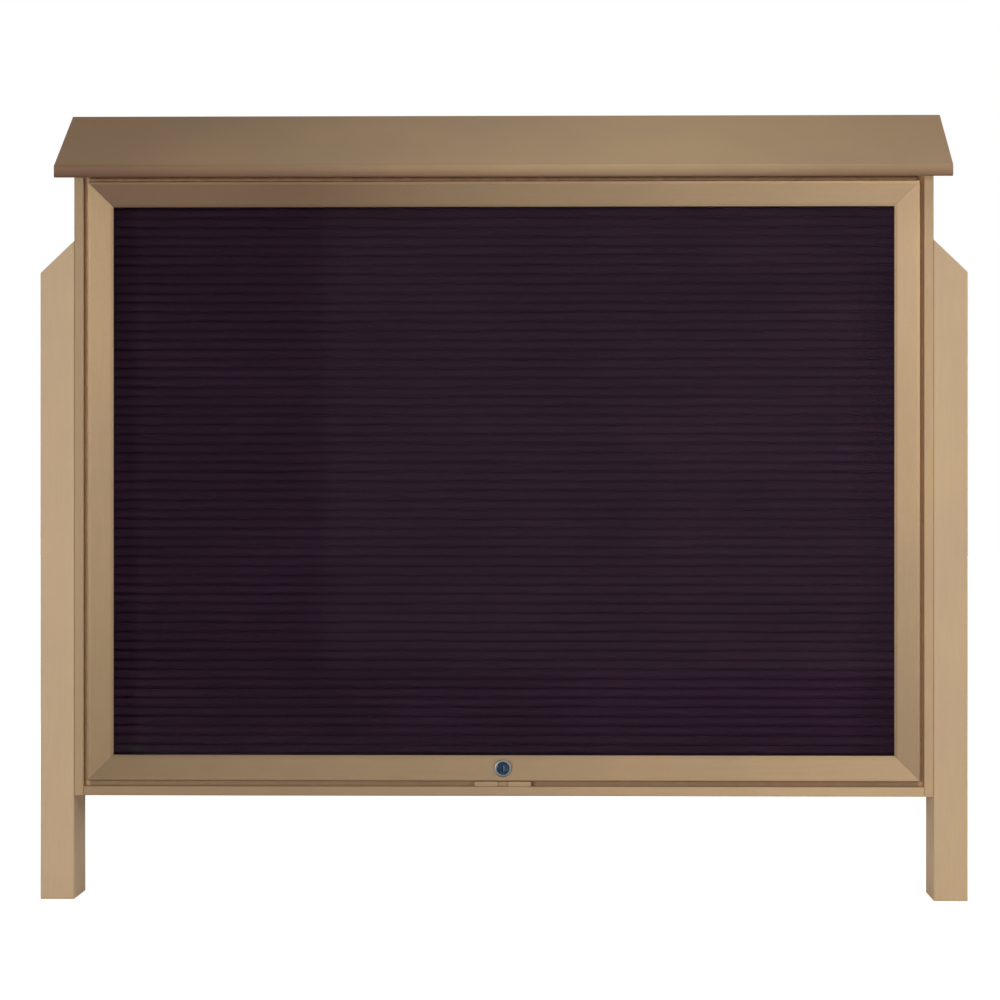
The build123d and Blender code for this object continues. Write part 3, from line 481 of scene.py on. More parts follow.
def blend_colours(tree, share, first, second, how="MIX"):
    """Two colours mixed by a pattern, or multiplied."""
    made = add_node(tree, "ShaderNodeMix", {"Factor": share}, data_type="RGBA", blend_type=how)
    for key, colour in (("A", first), ("B", second)):
        socket = [s for s in made.inputs if s.name == key and s.type == "RGBA"][0]
        if isinstance(colour, bpy.types.NodeSocket):
            tree.links.new(colour, socket)
        else:
            socket.default_value = (*colour, 1.0)
    return [s for s in made.outputs if s.type == "RGBA"][0]


def shaded(tree, colour, shade):
    """A colour multiplied by a shade."""
    return blend_colours(tree, 1.0, colour, shade, "MULTIPLY")


def bump(tree, shader, height, depth, strength):
    """Relief from a pattern, with its depth in metres."""
    made = add_node(tree, "ShaderNodeBump", {"Height": height, "Distance": depth, "Strength": strength})
    tree.links.new(made.outputs["Normal"], shader.inputs["Normal"])


def tinted(colour, share):
    """A colour made lighter or darker by a share."""
    return tuple(min(1.0, channel * share) for channel in colour)


def along(axis, painted_gradient, start=0.0):
    """A gradient of painted light and shade along an axis, with its ends measured from a start."""
    first, last, first_tone, last_tone = painted_gradient
    return axis, start + first, start + last, first_tone, last_tone


def painted_light_and_shade(tree, place, painted_light):
    """Painted light and shade: the product of gradients along the axes; a gradient's first tone may itself be
    a gradient.
    """
    where = add_node(tree, "ShaderNodeSeparateXYZ", {"Vector": place}).outputs
    shade = node_math(tree, "MULTIPLY", 1.0, 1.0)
    for axis, first, last, first_tone, last_tone in painted_light:
        if isinstance(first_tone, tuple):
            first_tone = painted_light_and_shade(tree, place, [first_tone])
        tone = remap(tree, where[axis], first_tone, last_tone, first, last)
        shade = node_math(tree, "MULTIPLY", shade, tone)
    return shade


# Finishes

def tan_sheet(name, colour, grain, painted_light=(), warmth=0.0):
    """Plastic sheet: soft blotches, drawn grain along one axis, a pebbled skin, and gradients of painted
    light and shade whose dim parts lose some green and blue.
    """
    material, tree, shader, place = new_material(name)
    drawn = grained(tree, place, grain, across=40.0, lengthwise=2.5)
    streaks = noise(tree, drawn, scale=7.0, detail=5.0, roughness=0.6)
    blotch = noise(tree, place, scale=5.0, detail=4.0)
    pebble = noise(tree, place, scale=900.0, detail=2.0)
    red, green, blue = colour
    base = blend_colours(
        tree, remap(tree, blotch, 0.0, 1.0), (red * 0.94, green * 0.95, blue * 0.99),
        (red * 1.05, green * 1.05, blue * 1.02))
    shade = painted_light_and_shade(tree, place, painted_light)
    # Painted shade: where the gradients dim the sheet, some green and blue are taken out as well.
    if warmth:
        dim = node_math(tree, "POWER", node_math(tree, "MINIMUM", shade, 1.0), warmth)
        cast = add_node(tree, "ShaderNodeCombineColor", {"Red": 1.0, "Green": dim, "Blue": dim})
        base = shaded(tree, base, cast.outputs["Color"])
    for pattern, depth in ((streaks, 0.028), (pebble, 0.045)):
        shade = node_math(tree, "MULTIPLY", shade, remap(tree, pattern, 1.0 - depth, 1.0 + depth))
    set_inputs(tree, shader, {
        "Base Color": shaded(tree, base, shade), "Roughness": remap(tree, streaks, 0.48, 0.62),
        "Specular IOR Level": 0.22})
    bump(tree, shader, node_math(tree, "ADD", pebble, streaks), depth=0.00010, strength=0.6)
    return material


def letter_strip_finish(colours, front, first_groove, pitch, painted_light):
    """Dark matt strips with a faint purple cast, rub marks and blotches, painted shade on their long edges,
    grooves painted paler and gradients of painted light and shade.
    """
    material, tree, shader, place = new_material("dark_letter_strips")
    colour, edge_shade = colours.strips, colours.strip_edge_shade
    rubbed = noise(tree, scaled(tree, place, (3.0, 60.0, 120.0)), scale=3.0, detail=3.0)
    blotch = noise(tree, scaled(tree, place, (1.0, 1.0, 1.8)), scale=5.0, detail=3.0)
    nap = noise(tree, place, scale=1400.0, detail=2.0)
    base = blend_colours(tree, remap(tree, blotch, 0.0, 1.0), tinted(colour, 0.85), tinted(colour, 1.12))
    drawn = blend_colours(tree, remap(tree, rubbed, 0.0, 0.12), base, tinted(colour, 1.30))
    # Painted light: the grooves' walls lighter, lifting the shade deep in them.
    depth = along("Y", (*GROOVE_LIGHT_DEPTHS, 1.0, colours.groove_light_tone), front)
    height = add_node(tree, "ShaderNodeSeparateXYZ", {"Vector": place}).outputs["Z"]
    # Painted shade along each strip's long edges, painted light along its middle.
    from_groove = node_math(tree, "PINGPONG", node_math(tree, "SUBTRACT", height, first_groove), pitch / 2)
    edges = remap(tree, from_groove, edge_shade, 2.0 - edge_shade, 0.0, pitch / 2)
    shade = node_math(tree, "MULTIPLY", painted_light_and_shade(tree, place, (depth, *painted_light)), edges)
    set_inputs(tree, shader, {
        "Base Color": shaded(tree, drawn, shade), "Roughness": remap(tree, rubbed, 0.78, 0.92),
        "Specular IOR Level": 0.04})
    bump(tree, shader, nap, depth=0.0001, strength=0.5)
    return material


def clear_acrylic():
    """Clear pane that lets lamps through, with faint wipe marks in its gloss."""
    material, tree, shader, place = new_material("clear_acrylic")
    wipes = noise(tree, scaled(tree, place, (2.0, 1.0, 9.0)), scale=4.0, detail=3.0)
    set_inputs(tree, shader, {
        "Base Color": blend_colours(tree, wipes, (0.96, 0.975, 0.97), (0.985, 0.99, 0.985)),
        "Roughness": remap(tree, wipes, 0.0, 0.02), "Transmission Weight": 1.0, "IOR": 1.10})
    lamp = add_node(tree, "ShaderNodeLightPath").outputs["Is Shadow Ray"]
    clear = add_node(tree, "ShaderNodeBsdfTransparent", {"Color": (0.95, 0.96, 0.96, 1.0)})
    show(tree, mix_surfaces(tree, lamp, shader.outputs["BSDF"], clear.outputs["BSDF"]))
    return material


def foam_rubber(name, colour, painted_light=()):
    """Matt cellular rubber with open pores."""
    material, tree, shader, place = new_material(name)
    pores = add_node(tree, "ShaderNodeTexVoronoi", {"Vector": place, "Scale": 1500.0}).outputs["Distance"]
    cloud = noise(tree, place, scale=60.0)
    tone = blend_colours(tree, cloud, tinted(colour, 0.9), tinted(colour, 1.4))
    set_inputs(tree, shader, {
        # The gradients paint light on the seal's fins beside the door, lifting their shade.
        "Base Color": shaded(tree, tone, painted_light_and_shade(tree, place, painted_light)),
        "Roughness": remap(tree, cloud, 0.78, 0.92)})
    bump(tree, shader, pores, depth=0.0002, strength=0.6)
    return material


def brushed_steel(name, colour, grain, roughness):
    """Stainless steel with fine brush lines along one axis."""
    material, tree, shader, place = new_material(name)
    brushed = grained(tree, place, grain, across=600.0, lengthwise=12.0)
    lines = noise(tree, brushed, scale=2.0, detail=4.0)
    cloud = noise(tree, place, scale=45.0)
    tone = blend_colours(tree, remap(tree, lines, 0.0, 1.0), tinted(colour, 0.82), tinted(colour, 1.08))
    set_inputs(tree, shader, {
        "Base Color": blend_colours(tree, remap(tree, cloud, 0.0, 0.35), tone, tinted(colour, 0.62)),
        "Roughness": remap(tree, lines, roughness, roughness + 0.14), "Metallic": 1.0})
    bump(tree, shader, lines, depth=0.00003, strength=0.5)
    return material


def polished_chrome(name, colour, roughness):
    """Bright plated metal with faint handling marks."""
    material, tree, shader, place = new_material(name)
    cloud = noise(tree, place, scale=160.0, detail=5.0)
    marks = noise(tree, scaled(tree, place, (900.0, 900.0, 120.0)), scale=2.0, detail=3.0)
    set_inputs(tree, shader, {
        "Base Color": blend_colours(tree, cloud, tinted(colour, 0.86), tinted(colour, 1.06)),
        "Roughness": remap(tree, marks, roughness, roughness + 0.10), "Metallic": 1.0})
    bump(tree, shader, marks, depth=0.00001, strength=0.4)
    return material


def satin_paint(name, colour, roughness, worn=2.2, painted_light=()):
    """Paint or nylon with a fine skin and slight rub marks, which are lighter by a share."""
    material, tree, shader, place = new_material(name)
    skin = noise(tree, place, scale=1100.0, detail=2.0)
    rub = noise(tree, place, scale=70.0, detail=4.0)
    worn_share = remap(tree, rub, 0.0, 1.0, start=0.4, end=0.8)
    tone = blend_colours(tree, worn_share, tinted(colour, 0.8), tinted(colour, worn))
    set_inputs(tree, shader, {
        # The gradients paint shade on the hinge's upper part, under the roof's nose.
        "Base Color": shaded(tree, tone, painted_light_and_shade(tree, place, painted_light)),
        "Roughness": remap(tree, rub, roughness, roughness + 0.16)})
    bump(tree, shader, skin, depth=0.00004, strength=0.5)
    return material


def pale_floor(lift, near, far):
    """Plain white studio floor with a trace of unevenness, lifted to white where it is seen far off."""
    material, tree, shader, place = new_material("pale_floor")
    cloud = noise(tree, place, scale=0.8)
    set_inputs(tree, shader, {
        "Base Color": blend_colours(tree, cloud, (0.90, 0.90, 0.90), (0.93, 0.93, 0.93)),
        "Roughness": 0.85, "Specular IOR Level": 0.1})
    distance = add_node(tree, "ShaderNodeVectorMath", {0: place}, operation="LENGTH").outputs["Value"]
    strength = remap(tree, distance, lift, 1.0, near, far)
    glow = add_node(tree, "ShaderNodeEmission", {"Color": WHITE, "Strength": strength})
    both = add_node(tree, "ShaderNodeAddShader", {0: shader.outputs["BSDF"], 1: glow.outputs["Emission"]})
    seen = add_node(tree, "ShaderNodeLightPath").outputs["Is Camera Ray"]
    show(tree, mix_surfaces(tree, seen, shader.outputs["BSDF"], both.outputs["Shader"]))
    return material


# Mesh helpers

def add_object(name, data):
    """A new object in the scene."""
    made = bpy.data.objects.new(name, data)
    bpy.context.scene.collection.objects.link(made)
    return made


def coat(mesh, material):
    """Give a mesh one material."""
    mesh.materials.clear()
    mesh.materials.append(material)


def make_piece(mesh, name, node, material):
    """Put a finished mesh in the scene, riding on a CAD node's body and standing for that node."""
    coat(mesh, material)
    piece = add_object(name, mesh)
    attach(piece, BODY_OF[node])
    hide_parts(node)


def paint(nodes, material):
    """Give CAD nodes that keep their shape a finish."""
    for node in nodes:
        coat(frame["nodes"][node].data, material)


def plain_mesh(shape, name):
    """Turn a finished skin into a mesh."""
    mesh = bpy.data.meshes.new(name)
    shape.to_mesh(mesh)
    shape.free()
    return mesh


def smooth_mesh(shape, name, crease):
    """Turn a finished skin into a mesh with its faces outwards, smooth up to an angle."""
    bmesh.ops.recalc_face_normals(shape, faces=shape.faces)
    mesh = plain_mesh(shape, name)
    mesh.shade_smooth()
    mesh.set_sharp_from_angle(angle=crease)
    return mesh


def merged_copy(node):
    """A CAD node's mesh with its loose triangles joined."""
    shape = bmesh.new()
    shape.from_mesh(frame["nodes"][node].data)
    bmesh.ops.remove_doubles(shape, verts=shape.verts, dist=MERGE_DISTANCE)
    return shape


def sharp_convex(edge):
    """True for an outer corner between two faces."""
    return len(edge.link_faces) == 2 and edge.is_convex and edge.calc_face_angle() > SHARP_ANGLE


def outline_edges(shape):
    """The long outer edges of a board, with the short ones that run on from them, and no hole's rim."""
    chosen = {edge for edge in shape.edges if sharp_convex(edge) and edge.calc_length() > LONG_EDGE}
    front = list(chosen)
    while front:
        edge = front.pop()
        for vertex in edge.verts:
            for other in vertex.link_edges:
                if other not in chosen and sharp_convex(other):
                    chosen.add(other)
                    front.append(other)
    return list(chosen)


def rounded_strip(face):
    """True for a narrow strip of a rounded edge, but not for a sliver between two holes of a flat face."""
    narrow = 2 * face.calc_area() < NARROW_FACE * face.calc_perimeter()
    level = any(len(edge.link_faces) == 2 and edge.calc_face_angle() < FLAT_ANGLE for edge in face.edges)
    return narrow and not level


def ease_boards(nodes, softness, material):
    """Boards with their flat faces merged and their edges eased, standing for the CAD nodes."""
    for node in nodes:
        shape = merged_copy(node)
        bmesh.ops.dissolve_limit(shape, angle_limit=FLAT_ANGLE, verts=shape.verts, edges=shape.edges)
        bmesh.ops.bevel(
            shape, geom=outline_edges(shape), offset=softness, offset_type="OFFSET", segments=3, profile=0.5,
            affect="EDGES", clamp_overlap=False, miter_outer="SHARP")
        for face in shape.faces:
            face.smooth = rounded_strip(face)
        name = f"{node}_eased"
        make_piece(plain_mesh(shape, name), name, node, material)


# Node trees

def new_tree(name, inputs):
    """An empty geometry tree with its named inputs; returns the tree, its sockets and its output node."""
    tree = bpy.data.node_groups.new(name, "GeometryNodeTree")
    tree.interface.new_socket("Geometry", in_out="INPUT", socket_type="NodeSocketGeometry")
    for label, kind in inputs:
        tree.interface.new_socket(label, in_out="INPUT", socket_type=f"NodeSocket{kind}")
    tree.interface.new_socket("Geometry", in_out="OUTPUT", socket_type="NodeSocketGeometry")
    sockets = add_node(tree, "NodeGroupInput").outputs
    return tree, sockets, add_node(tree, "NodeGroupOutput")


def grown_mesh(tree, values, start=None):
    """Run a geometry tree with its inputs set by name, and return the plain mesh that it makes."""
    carrier = add_object("tree_carrier", start or bpy.data.meshes.new("tree_start"))
    modifier = carrier.modifiers.new("tree", "NODES")
    modifier.node_group = tree
    identifiers = {s.name: s.identifier for s in tree.interface.items_tree if s.in_out == "INPUT"}
    for label, value in values.items():
        modifier[identifiers[label]] = value
    graph = bpy.context.evaluated_depsgraph_get()
    made = bpy.data.meshes.new_from_object(carrier.evaluated_get(graph))
    carrier.modifiers.remove(modifier)
    bpy.data.objects.remove(carrier)
    return made


def finish_tree(tree, output, geometry, material):
    """Realize the instances and set the material at the end of a tree."""
    real = add_node(tree, "GeometryNodeRealizeInstances", {"Geometry": geometry}).outputs["Geometry"]
    painted = add_node(tree, "GeometryNodeSetMaterial", {"Geometry": real, "Material": material})
    tree.links.new(painted.outputs["Geometry"], output.inputs["Geometry"])


def strip_tree():
    """Crowned strips with rounded edges, each drawn along Z and stacked along X at one pitch."""
    tree, given, output = new_tree("letter_strips", (
        ("Count", "Int"), ("Pitch", "Float"), ("Groove Width", "Float"), ("Depth", "Float"),
        ("Crown", "Float"), ("Rounding", "Float"), ("Length", "Float"), ("Material", "Material")))
    face = node_math(tree, "SUBTRACT", given["Pitch"], given["Groove Width"])
    section = add_node(
        tree, "GeometryNodeCurvePrimitiveQuadrilateral", {"Width": face, "Height": given["Depth"]},
        mode="RECTANGLE").outputs["Curve"]
    round_section = add_node(
        tree, "GeometryNodeFilletCurve",
        {"Curve": section, "Count": 3, "Radius": given["Rounding"], "Limit Radius": True}, mode="POLY")
    fine = add_node(tree, "GeometryNodeSubdivideCurve", {"Curve": round_section.outputs["Curve"], "Cuts": 3})
    place = add_node(tree, "GeometryNodeInputPosition").outputs["Position"]
    where = add_node(tree, "ShaderNodeSeparateXYZ", {"Vector": place}).outputs
    across = node_math(tree, "DIVIDE", node_math(tree, "MULTIPLY", where["X"], 2.0), face)
    rise = node_math(tree, "SUBTRACT", 1.0, node_math(tree, "MULTIPLY", across, across))
    lift = add_node(tree, "ShaderNodeCombineXYZ", {"Y": node_math(tree, "MULTIPLY", rise, given["Crown"])})
    in_front = add_node(tree, "FunctionNodeCompare", {"A": where["Y"], "B": 0.0}, operation="GREATER_THAN")
    crowned = add_node(tree, "GeometryNodeSetPosition", {
        "Geometry": fine.outputs["Curve"], "Selection": in_front.outputs["Result"],
        "Offset": lift.outputs["Vector"]})
    half = node_math(tree, "DIVIDE", given["Length"], 2.0)
    start, end = (
        add_node(tree, "ShaderNodeCombineXYZ", {"Z": value}).outputs["Vector"]
        for value in (node_math(tree, "MULTIPLY", half, -1.0), half))
    path = add_node(tree, "GeometryNodeCurvePrimitiveLine", {"Start": start, "End": end}).outputs["Curve"]
    strip = add_node(tree, "GeometryNodeCurveToMesh", {
        "Curve": path, "Profile Curve": crowned.outputs["Geometry"], "Fill Caps": True}).outputs["Mesh"]
    step = add_node(tree, "ShaderNodeCombineXYZ", {"X": given["Pitch"]}).outputs["Vector"]
    line = add_node(tree, "GeometryNodeMeshLine", {"Count": given["Count"], "Offset": step}, mode="OFFSET")
    points = line.outputs["Mesh"]
    stack = add_node(tree, "GeometryNodeInstanceOnPoints", {"Points": points, "Instance": strip})
    finish_tree(tree, output, stack.outputs["Instances"], given["Material"])
    return tree


def screw_tree():
    """One screw on each point, with its head along the point's outward arrow and a chance turn about it."""
    tree, given, output = new_tree("flat_screws", (
        ("Screw", "Object"), ("Seed", "Int"), ("Material", "Material")))
    shape = add_node(tree, "GeometryNodeObjectInfo", {"Object": given["Screw"]}, transform_space="ORIGINAL")
    arrow = add_node(tree, "GeometryNodeInputNamedAttribute", {"Name": "outward"}, data_type="FLOAT_VECTOR")
    outward = [s for s in arrow.outputs if s.enabled and s.name == "Attribute"][0]
    aimed = add_node(tree, "FunctionNodeAlignRotationToVector", {"Vector": outward}, axis="Z")
    turn = add_node(tree, "FunctionNodeRandomValue", {"Seed": given["Seed"]}, data_type="FLOAT")
    angle = node_math(tree, "MULTIPLY", turn.outputs[1], 2 * math.pi)
    spin = add_node(tree, "FunctionNodeAxisAngleToRotation", {"Axis": (0.0, 0.0, 1.0), "Angle": angle})
    both = add_node(tree, "FunctionNodeRotateRotation", {
        "Rotation": aimed.outputs["Rotation"], "Rotate By": spin.outputs["Rotation"]}, rotation_space="LOCAL")
    placed = add_node(tree, "GeometryNodeInstanceOnPoints", {
        "Points": given["Geometry"], "Instance": shape.outputs["Geometry"],
        "Rotation": both.outputs["Rotation"]})
    finish_tree(tree, output, placed.outputs["Instances"], given["Material"])
    return tree


def screw_places(node):
    """Each screw of a CAD group: the middle of its head, the way it points, its radius and its length."""
    shape = merged_copy(node)
    places = []
    left = set(shape.verts)
    while left:
        island = [left.pop()]
        for vertex in island:
            for edge in vertex.link_edges:
                other = edge.other_vert(vertex)
                if other in left:
                    left.remove(other)
                    island.append(other)
        points = np.array([vertex.co for vertex in island])
        middle = (points.min(0) + points.max(0)) / 2
        spread = points - middle
        axis = np.linalg.eigh(spread.T @ spread)[1][:, -1]
        reach = spread @ axis
        radius = np.linalg.norm(spread - np.outer(reach, axis), axis=1)
        widest = radius > radius.max() - SAME_RADIUS
        if reach[widest].mean() < 0:
            axis, reach = -axis, -reach
        core = points[widest].mean(0)
        head = core + axis * (reach.max() - reach[widest].mean())
        places.append((head, axis, float(radius.max()), float(reach.max() - reach.min())))
    shape.free()
    return sorted(places, key=lambda place: tuple(round(float(v), 5) for v in place[0]))


def ring_of(radius, height, count, corner=None):
    """A ring of points: a circle, or a rectangle with those half-widths as shares of the radius."""
    points = []
    for i in range(count):
        angle = 2 * math.pi * (i + 0.5) / count
        x, y = math.cos(angle), math.sin(angle)
        if corner:
            reach = max(abs(x) / corner[0], abs(y) / corner[1])
            x, y = x / reach, y / reach
        points.append((x * radius, y * radius, height))
    return points


def lathe(shape, rings, closed=True):
    """Join rings of points, one after another, into a skin, with its two ends closed or open."""
    loops = [[shape.verts.new(point) for point in ring] for ring in rings]
    count = len(loops[0])
    for first, second in zip(loops, loops[1:]):
        for i in range(count):
            j = (i + 1) % count
            shape.faces.new((first[i], first[j], second[j], second[i]))
    if closed:
        shape.faces.new(reversed(loops[0]))
        shape.faces.new(loops[-1])


def turned_shape(rings, count, closed=True):
    """A skin through rings that are each a radius, a height and the half-widths of a rectangle or None."""
    shape = bmesh.new()
    lathe(shape, [ring_of(radius, height, count, corner) for radius, height, corner in rings], closed)
    return shape


def screw_shape(head, length, sizes):
    """A flat-headed screw along -Z: square drive, eased head, cone and shank."""
    shank = head * SCREW_SHANK
    recess = head * sizes.recess_share
    dome = sizes.screw_dome
    shape = turned_shape((
        (shank * 0.25, -length, None),
        (shank, -length + shank, None),
        (shank, shank - head, None),
        (head, -head * 0.06, None),
        (head * 0.985, 0.0, None),
        (head * 0.80, dome * 0.7, None),
        (recess * 1.06, dome, SQUARE),
        (recess, dome * 0.4, SQUARE),
        (recess * 0.86, -head * 0.42, SQUARE)), SCREW_FACETS)
    return add_object("screw_shape", smooth_mesh(shape, "screw_shape", TURNED_CREASE))


def sweep_round(shape, corners, section):
    """A section swept round a rectangle in the XZ plane; each of its points is a step inward and a depth."""
    (low_x, low_z), (high_x, high_z) = corners
    loops = []
    for sign_x, sign_z in ((-1, -1), (1, -1), (1, 1), (-1, 1)):
        x = high_x if sign_x > 0 else low_x
        z = high_z if sign_z > 0 else low_z
        loops.append([(x - sign_x * inward, back, z - sign_z * inward) for inward, back in section])
    lathe(shape, loops + loops[:1], closed=False)
    bmesh.ops.remove_doubles(shape, verts=shape.verts, dist=MERGE_DISTANCE)


# Operators

class BoardOperator(bpy.types.Operator):
    """Base of the letter board's operators."""

    bl_options = {"REGISTER", "UNDO"}


class LETTERBOARD_OT_case_boards(BoardOperator):
    """Ease the edges of the case's boards and posts, and give them their tan finish"""

    bl_idname = "letterboard.case_boards"
    bl_label = "Case boards"

    def execute(self, context):
        given = context.scene.letter_board
        colours, painted_light = given.colours, given.painted_light
        sheet = colours.sheet
        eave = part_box("roof_board")[0].z
        # Painted light and shade: gradients on the roof, its nose and the eave's edge, on the case and on the
        # bottom panel; the roof is a darker copy of the sheet and the posts a lighter tan.
        nose = (*painted_light.nose_up, along("X", painted_light.nose_along), 1.0)
        roof_painted_light = [along("X", painted_gradient) for painted_gradient in (painted_light.roof_along, painted_light.roof_end)]
        roof_painted_light += [along("Z", painted_gradient, eave) for painted_gradient in (painted_light.roof_up, nose, painted_light.drip)]
        case_painted_light = [along("X", painted_light.case_along)]
        sill_painted_light = [along("X", painted_light.sill_along)]
        roof = tan_sheet("tan_roof", tinted(sheet, colours.roof_shade_tone), 0, roof_painted_light, colours.dim_shade_warmth)
        finishes = (
            (POSTS, tan_sheet("tan_post", colours.post, grain=2)),
            (("roof_board",), roof),
            (UPRIGHT_BOARDS, tan_sheet("tan_sheet_upright", sheet, grain=2, painted_light=case_painted_light)),
            (SILL_BOARDS, tan_sheet("tan_sill", sheet, grain=0, painted_light=sill_painted_light)),
            (LEVEL_BOARDS, tan_sheet("tan_sheet_level", sheet, grain=0, painted_light=case_painted_light)))
        for nodes, finish in finishes:
            ease_boards(nodes, given.sizes.edge_softness, finish)
        return {"FINISHED"}


class LETTERBOARD_OT_door_frame(BoardOperator):
    """Make the door's mitred frame and the strips that hold its pane"""

    bl_idname = "letterboard.door_frame"
    bl_label = "Door frame"

    def execute(self, context):
        given = context.scene.letter_board
        colours, painted_light = given.colours, given.painted_light
        # Painted shade and light: the rails are darker copies of the sheet and the stiles a lighter one, with
        # gradients across them and a painted highlight along the door's top edge.
        stile, top_rail, bottom_rail = (
            tinted(colours.sheet, tone)
            for tone in (colours.stile_light_tone, colours.top_rail_shade_tone, colours.bottom_rail_shade_tone))
        door_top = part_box("door_top_rail")[1].z
        stile_painted_light = [along("X", painted_light.stile_along), along("Z", painted_light.stile_up)]
        top_rail_painted_light = [along("X", painted_light.top_rail_along), along("Z", painted_light.top_rail_highlight, door_top)]
        bottom_rail_painted_light = [along("X", painted_light.bottom_rail_along)]
        finishes = (
            (STILES, tan_sheet("tan_stile", stile, grain=2, painted_light=stile_painted_light)),
            (("door_top_rail",), tan_sheet("tan_top_rail", top_rail, 0, top_rail_painted_light, colours.dim_shade_warmth)),
            (("door_bottom_rail",), tan_sheet("tan_bottom_rail", bottom_rail, grain=0, painted_light=bottom_rail_painted_light)),
            (("pane_retainers",), tan_sheet("tan_retainer", colours.sheet, grain=0)))
        for nodes, finish in finishes:
            ease_boards(nodes, given.sizes.mitre_softness, finish)
        return {"FINISHED"}


class LETTERBOARD_OT_letter_board(BoardOperator):
    """Stack the dark strips whose grooves hold the letters, on their backing sheet"""

    bl_idname = "letterboard.letter_board"
    bl_label = "Letter board"

    def execute(self, context):
        given = context.scene.letter_board
        sizes, painted_light = given.sizes, given.painted_light
        low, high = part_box("letter_board")
        middle_x, middle_z = (low.x + high.x) / 2, (low.z + high.z) / 2
        width, height = high.x - low.x, high.z - low.z
        band = sizes.band_height
        pitch = sizes.groove_pitch
        strips = round((height - 2 * band - sizes.groove_width) / pitch)
        thickness = sizes.groove_depth + sizes.strip_crown
        first_strip = middle_z - (strips - 1) / 2 * pitch
        # Painted light and shade along the strips, lifted at the ends and near the bottom and top where the
        # frame shades them.
        strip_painted_light = [along("X", painted_gradient) for painted_gradient in (
            painted_light.strips_left, painted_light.strips_along, painted_light.strips_far, painted_light.strips_right)]
        strip_painted_light += [along("Z", painted_gradient) for painted_gradient in (painted_light.strips_low, painted_light.strips_high)]
        finish = letter_strip_finish(given.colours, low.y, first_strip - pitch / 2, pitch, strip_painted_light)
        tree = strip_tree()
        rows = (
            (strips, pitch, sizes.groove_width, sizes.groove_depth, sizes.strip_crown, first_strip),
            (2, height - band, height - 2 * band, thickness, 0.0, low.z + band / 2))
        shape = bmesh.new()
        for count, row_pitch, gap, depth, crown, first in rows:
            stack = grown_mesh(tree, {
                "Count": count, "Pitch": row_pitch, "Groove Width": gap, "Depth": depth, "Crown": crown,
                "Rounding": sizes.strip_rounding, "Length": width, "Material": finish})
            for vertex in stack.vertices:
                x, y, z = vertex.co
                vertex.co = (z, low.y + crown + depth / 2 - y, first + x)
            shape.from_mesh(stack)
        sheet_front = low.y + thickness
        for vertex in bmesh.ops.create_cube(shape, size=1.0)["verts"]:
            x, y, z = vertex.co
            vertex.co = (
                middle_x + x * width,
                (sheet_front + high.y) / 2 + y * (high.y - sheet_front),
                middle_z + z * height)
        mesh = smooth_mesh(shape, "letter_strips", STRIP_CREASE)
        make_piece(mesh, "letter_strips", "letter_board", finish)
        return {"FINISHED"}


class LETTERBOARD_OT_window(BoardOperator):
    """Make the clear pane and its tape"""

    bl_idname = "letterboard.window"
    bl_label = "Window"

    def execute(self, context):
        given = context.scene.letter_board
        ease_boards(("window_pane",), given.sizes.mitre_softness, clear_acrylic())
        paint(("glazing_tape",), foam_rubber("foam_tape", given.colours.rubber))
        return {"FINISHED"}


class LETTERBOARD_OT_door_seal(BoardOperator):
    """Sweep the soft bulb round the door stops, and add the fin that fills the gap round the door"""

    bl_idname = "letterboard.door_seal"
    bl_label = "Door seal"

    def execute(self, context):
        given = context.scene.letter_board
        low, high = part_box("door_seal")
        sizes = given.sizes
        left_stop, bottom_stop, top_stop = (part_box(f"{name}_stop") for name in ("left", "bottom", "top"))
        inner = Vector((left_stop[1].x, bottom_stop[1].z))
        outer = Vector((-left_stop[1].x, top_stop[0].z))
        bulb_depth = left_stop[0].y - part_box("pane_retainers")[0].y - sizes.seal_gap
        section = [(0.0, high.y)]
        for i in range(SEAL_FACETS + 1):
            angle = math.pi * i / SEAL_FACETS
            across = -sizes.seal_width * (1 - math.cos(angle)) / 2
            section.append((across, high.y - bulb_depth * (SEAL_FOOT + (1 - SEAL_FOOT) * math.sin(angle))))
        section.append((-sizes.seal_width, high.y))
        shape = bmesh.new()
        sweep_round(shape, (inner, outer), section)

        door_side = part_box("door_left_stile")[0].x - sizes.fin_gap
        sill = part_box("door_bottom_rail")[0].z - sizes.fin_gap
        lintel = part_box("door_top_rail")[1].z + sizes.fin_gap
        hinge_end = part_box("hinge_pin")[0].x - sizes.fin_gap
        left_stations = (
            (high.z, hinge_end), (lintel, hinge_end), (lintel - sizes.fin_gap / 2, door_side),
            (low.z, door_side))
        stations = []
        for sign, edges in ((1, left_stations), (-1, reversed(left_stations))):
            for height, inner_edge in edges:
                stations.append(((sign * low.x, height), (sign * inner_edge, max(height, sill))))
        side = low.y + sizes.fin_rounding
        brow = low.y + sizes.fin_rounding * FIN_BROW
        profile = (
            (0.0, high.y), (0.0, side), (0.1, brow), (0.3, low.y),
            (0.7, low.y), (0.9, brow), (1.0, side), (1.0, high.y))
        loops = []
        for start, end in stations:
            points = [(Vector(start).lerp(Vector(end), share), depth) for share, depth in profile]
            loops.append([(point.x, depth, point.y) for point, depth in points])
        lathe(shape, loops)
        # Painted light on the seal's side fins, lifting the shade in the gaps beside the door.
        seal_painted_light = [along("X", painted_gradient) for painted_gradient in (given.painted_light.seal_left_light, given.painted_light.seal_right_light)]
        rubber = foam_rubber("foam_rubber", given.colours.rubber, seal_painted_light)
        make_piece(smooth_mesh(shape, "door_seal_bulb", SEAL_CREASE), "door_seal_bulb", "door_seal", rubber)
        return {"FINISHED"}


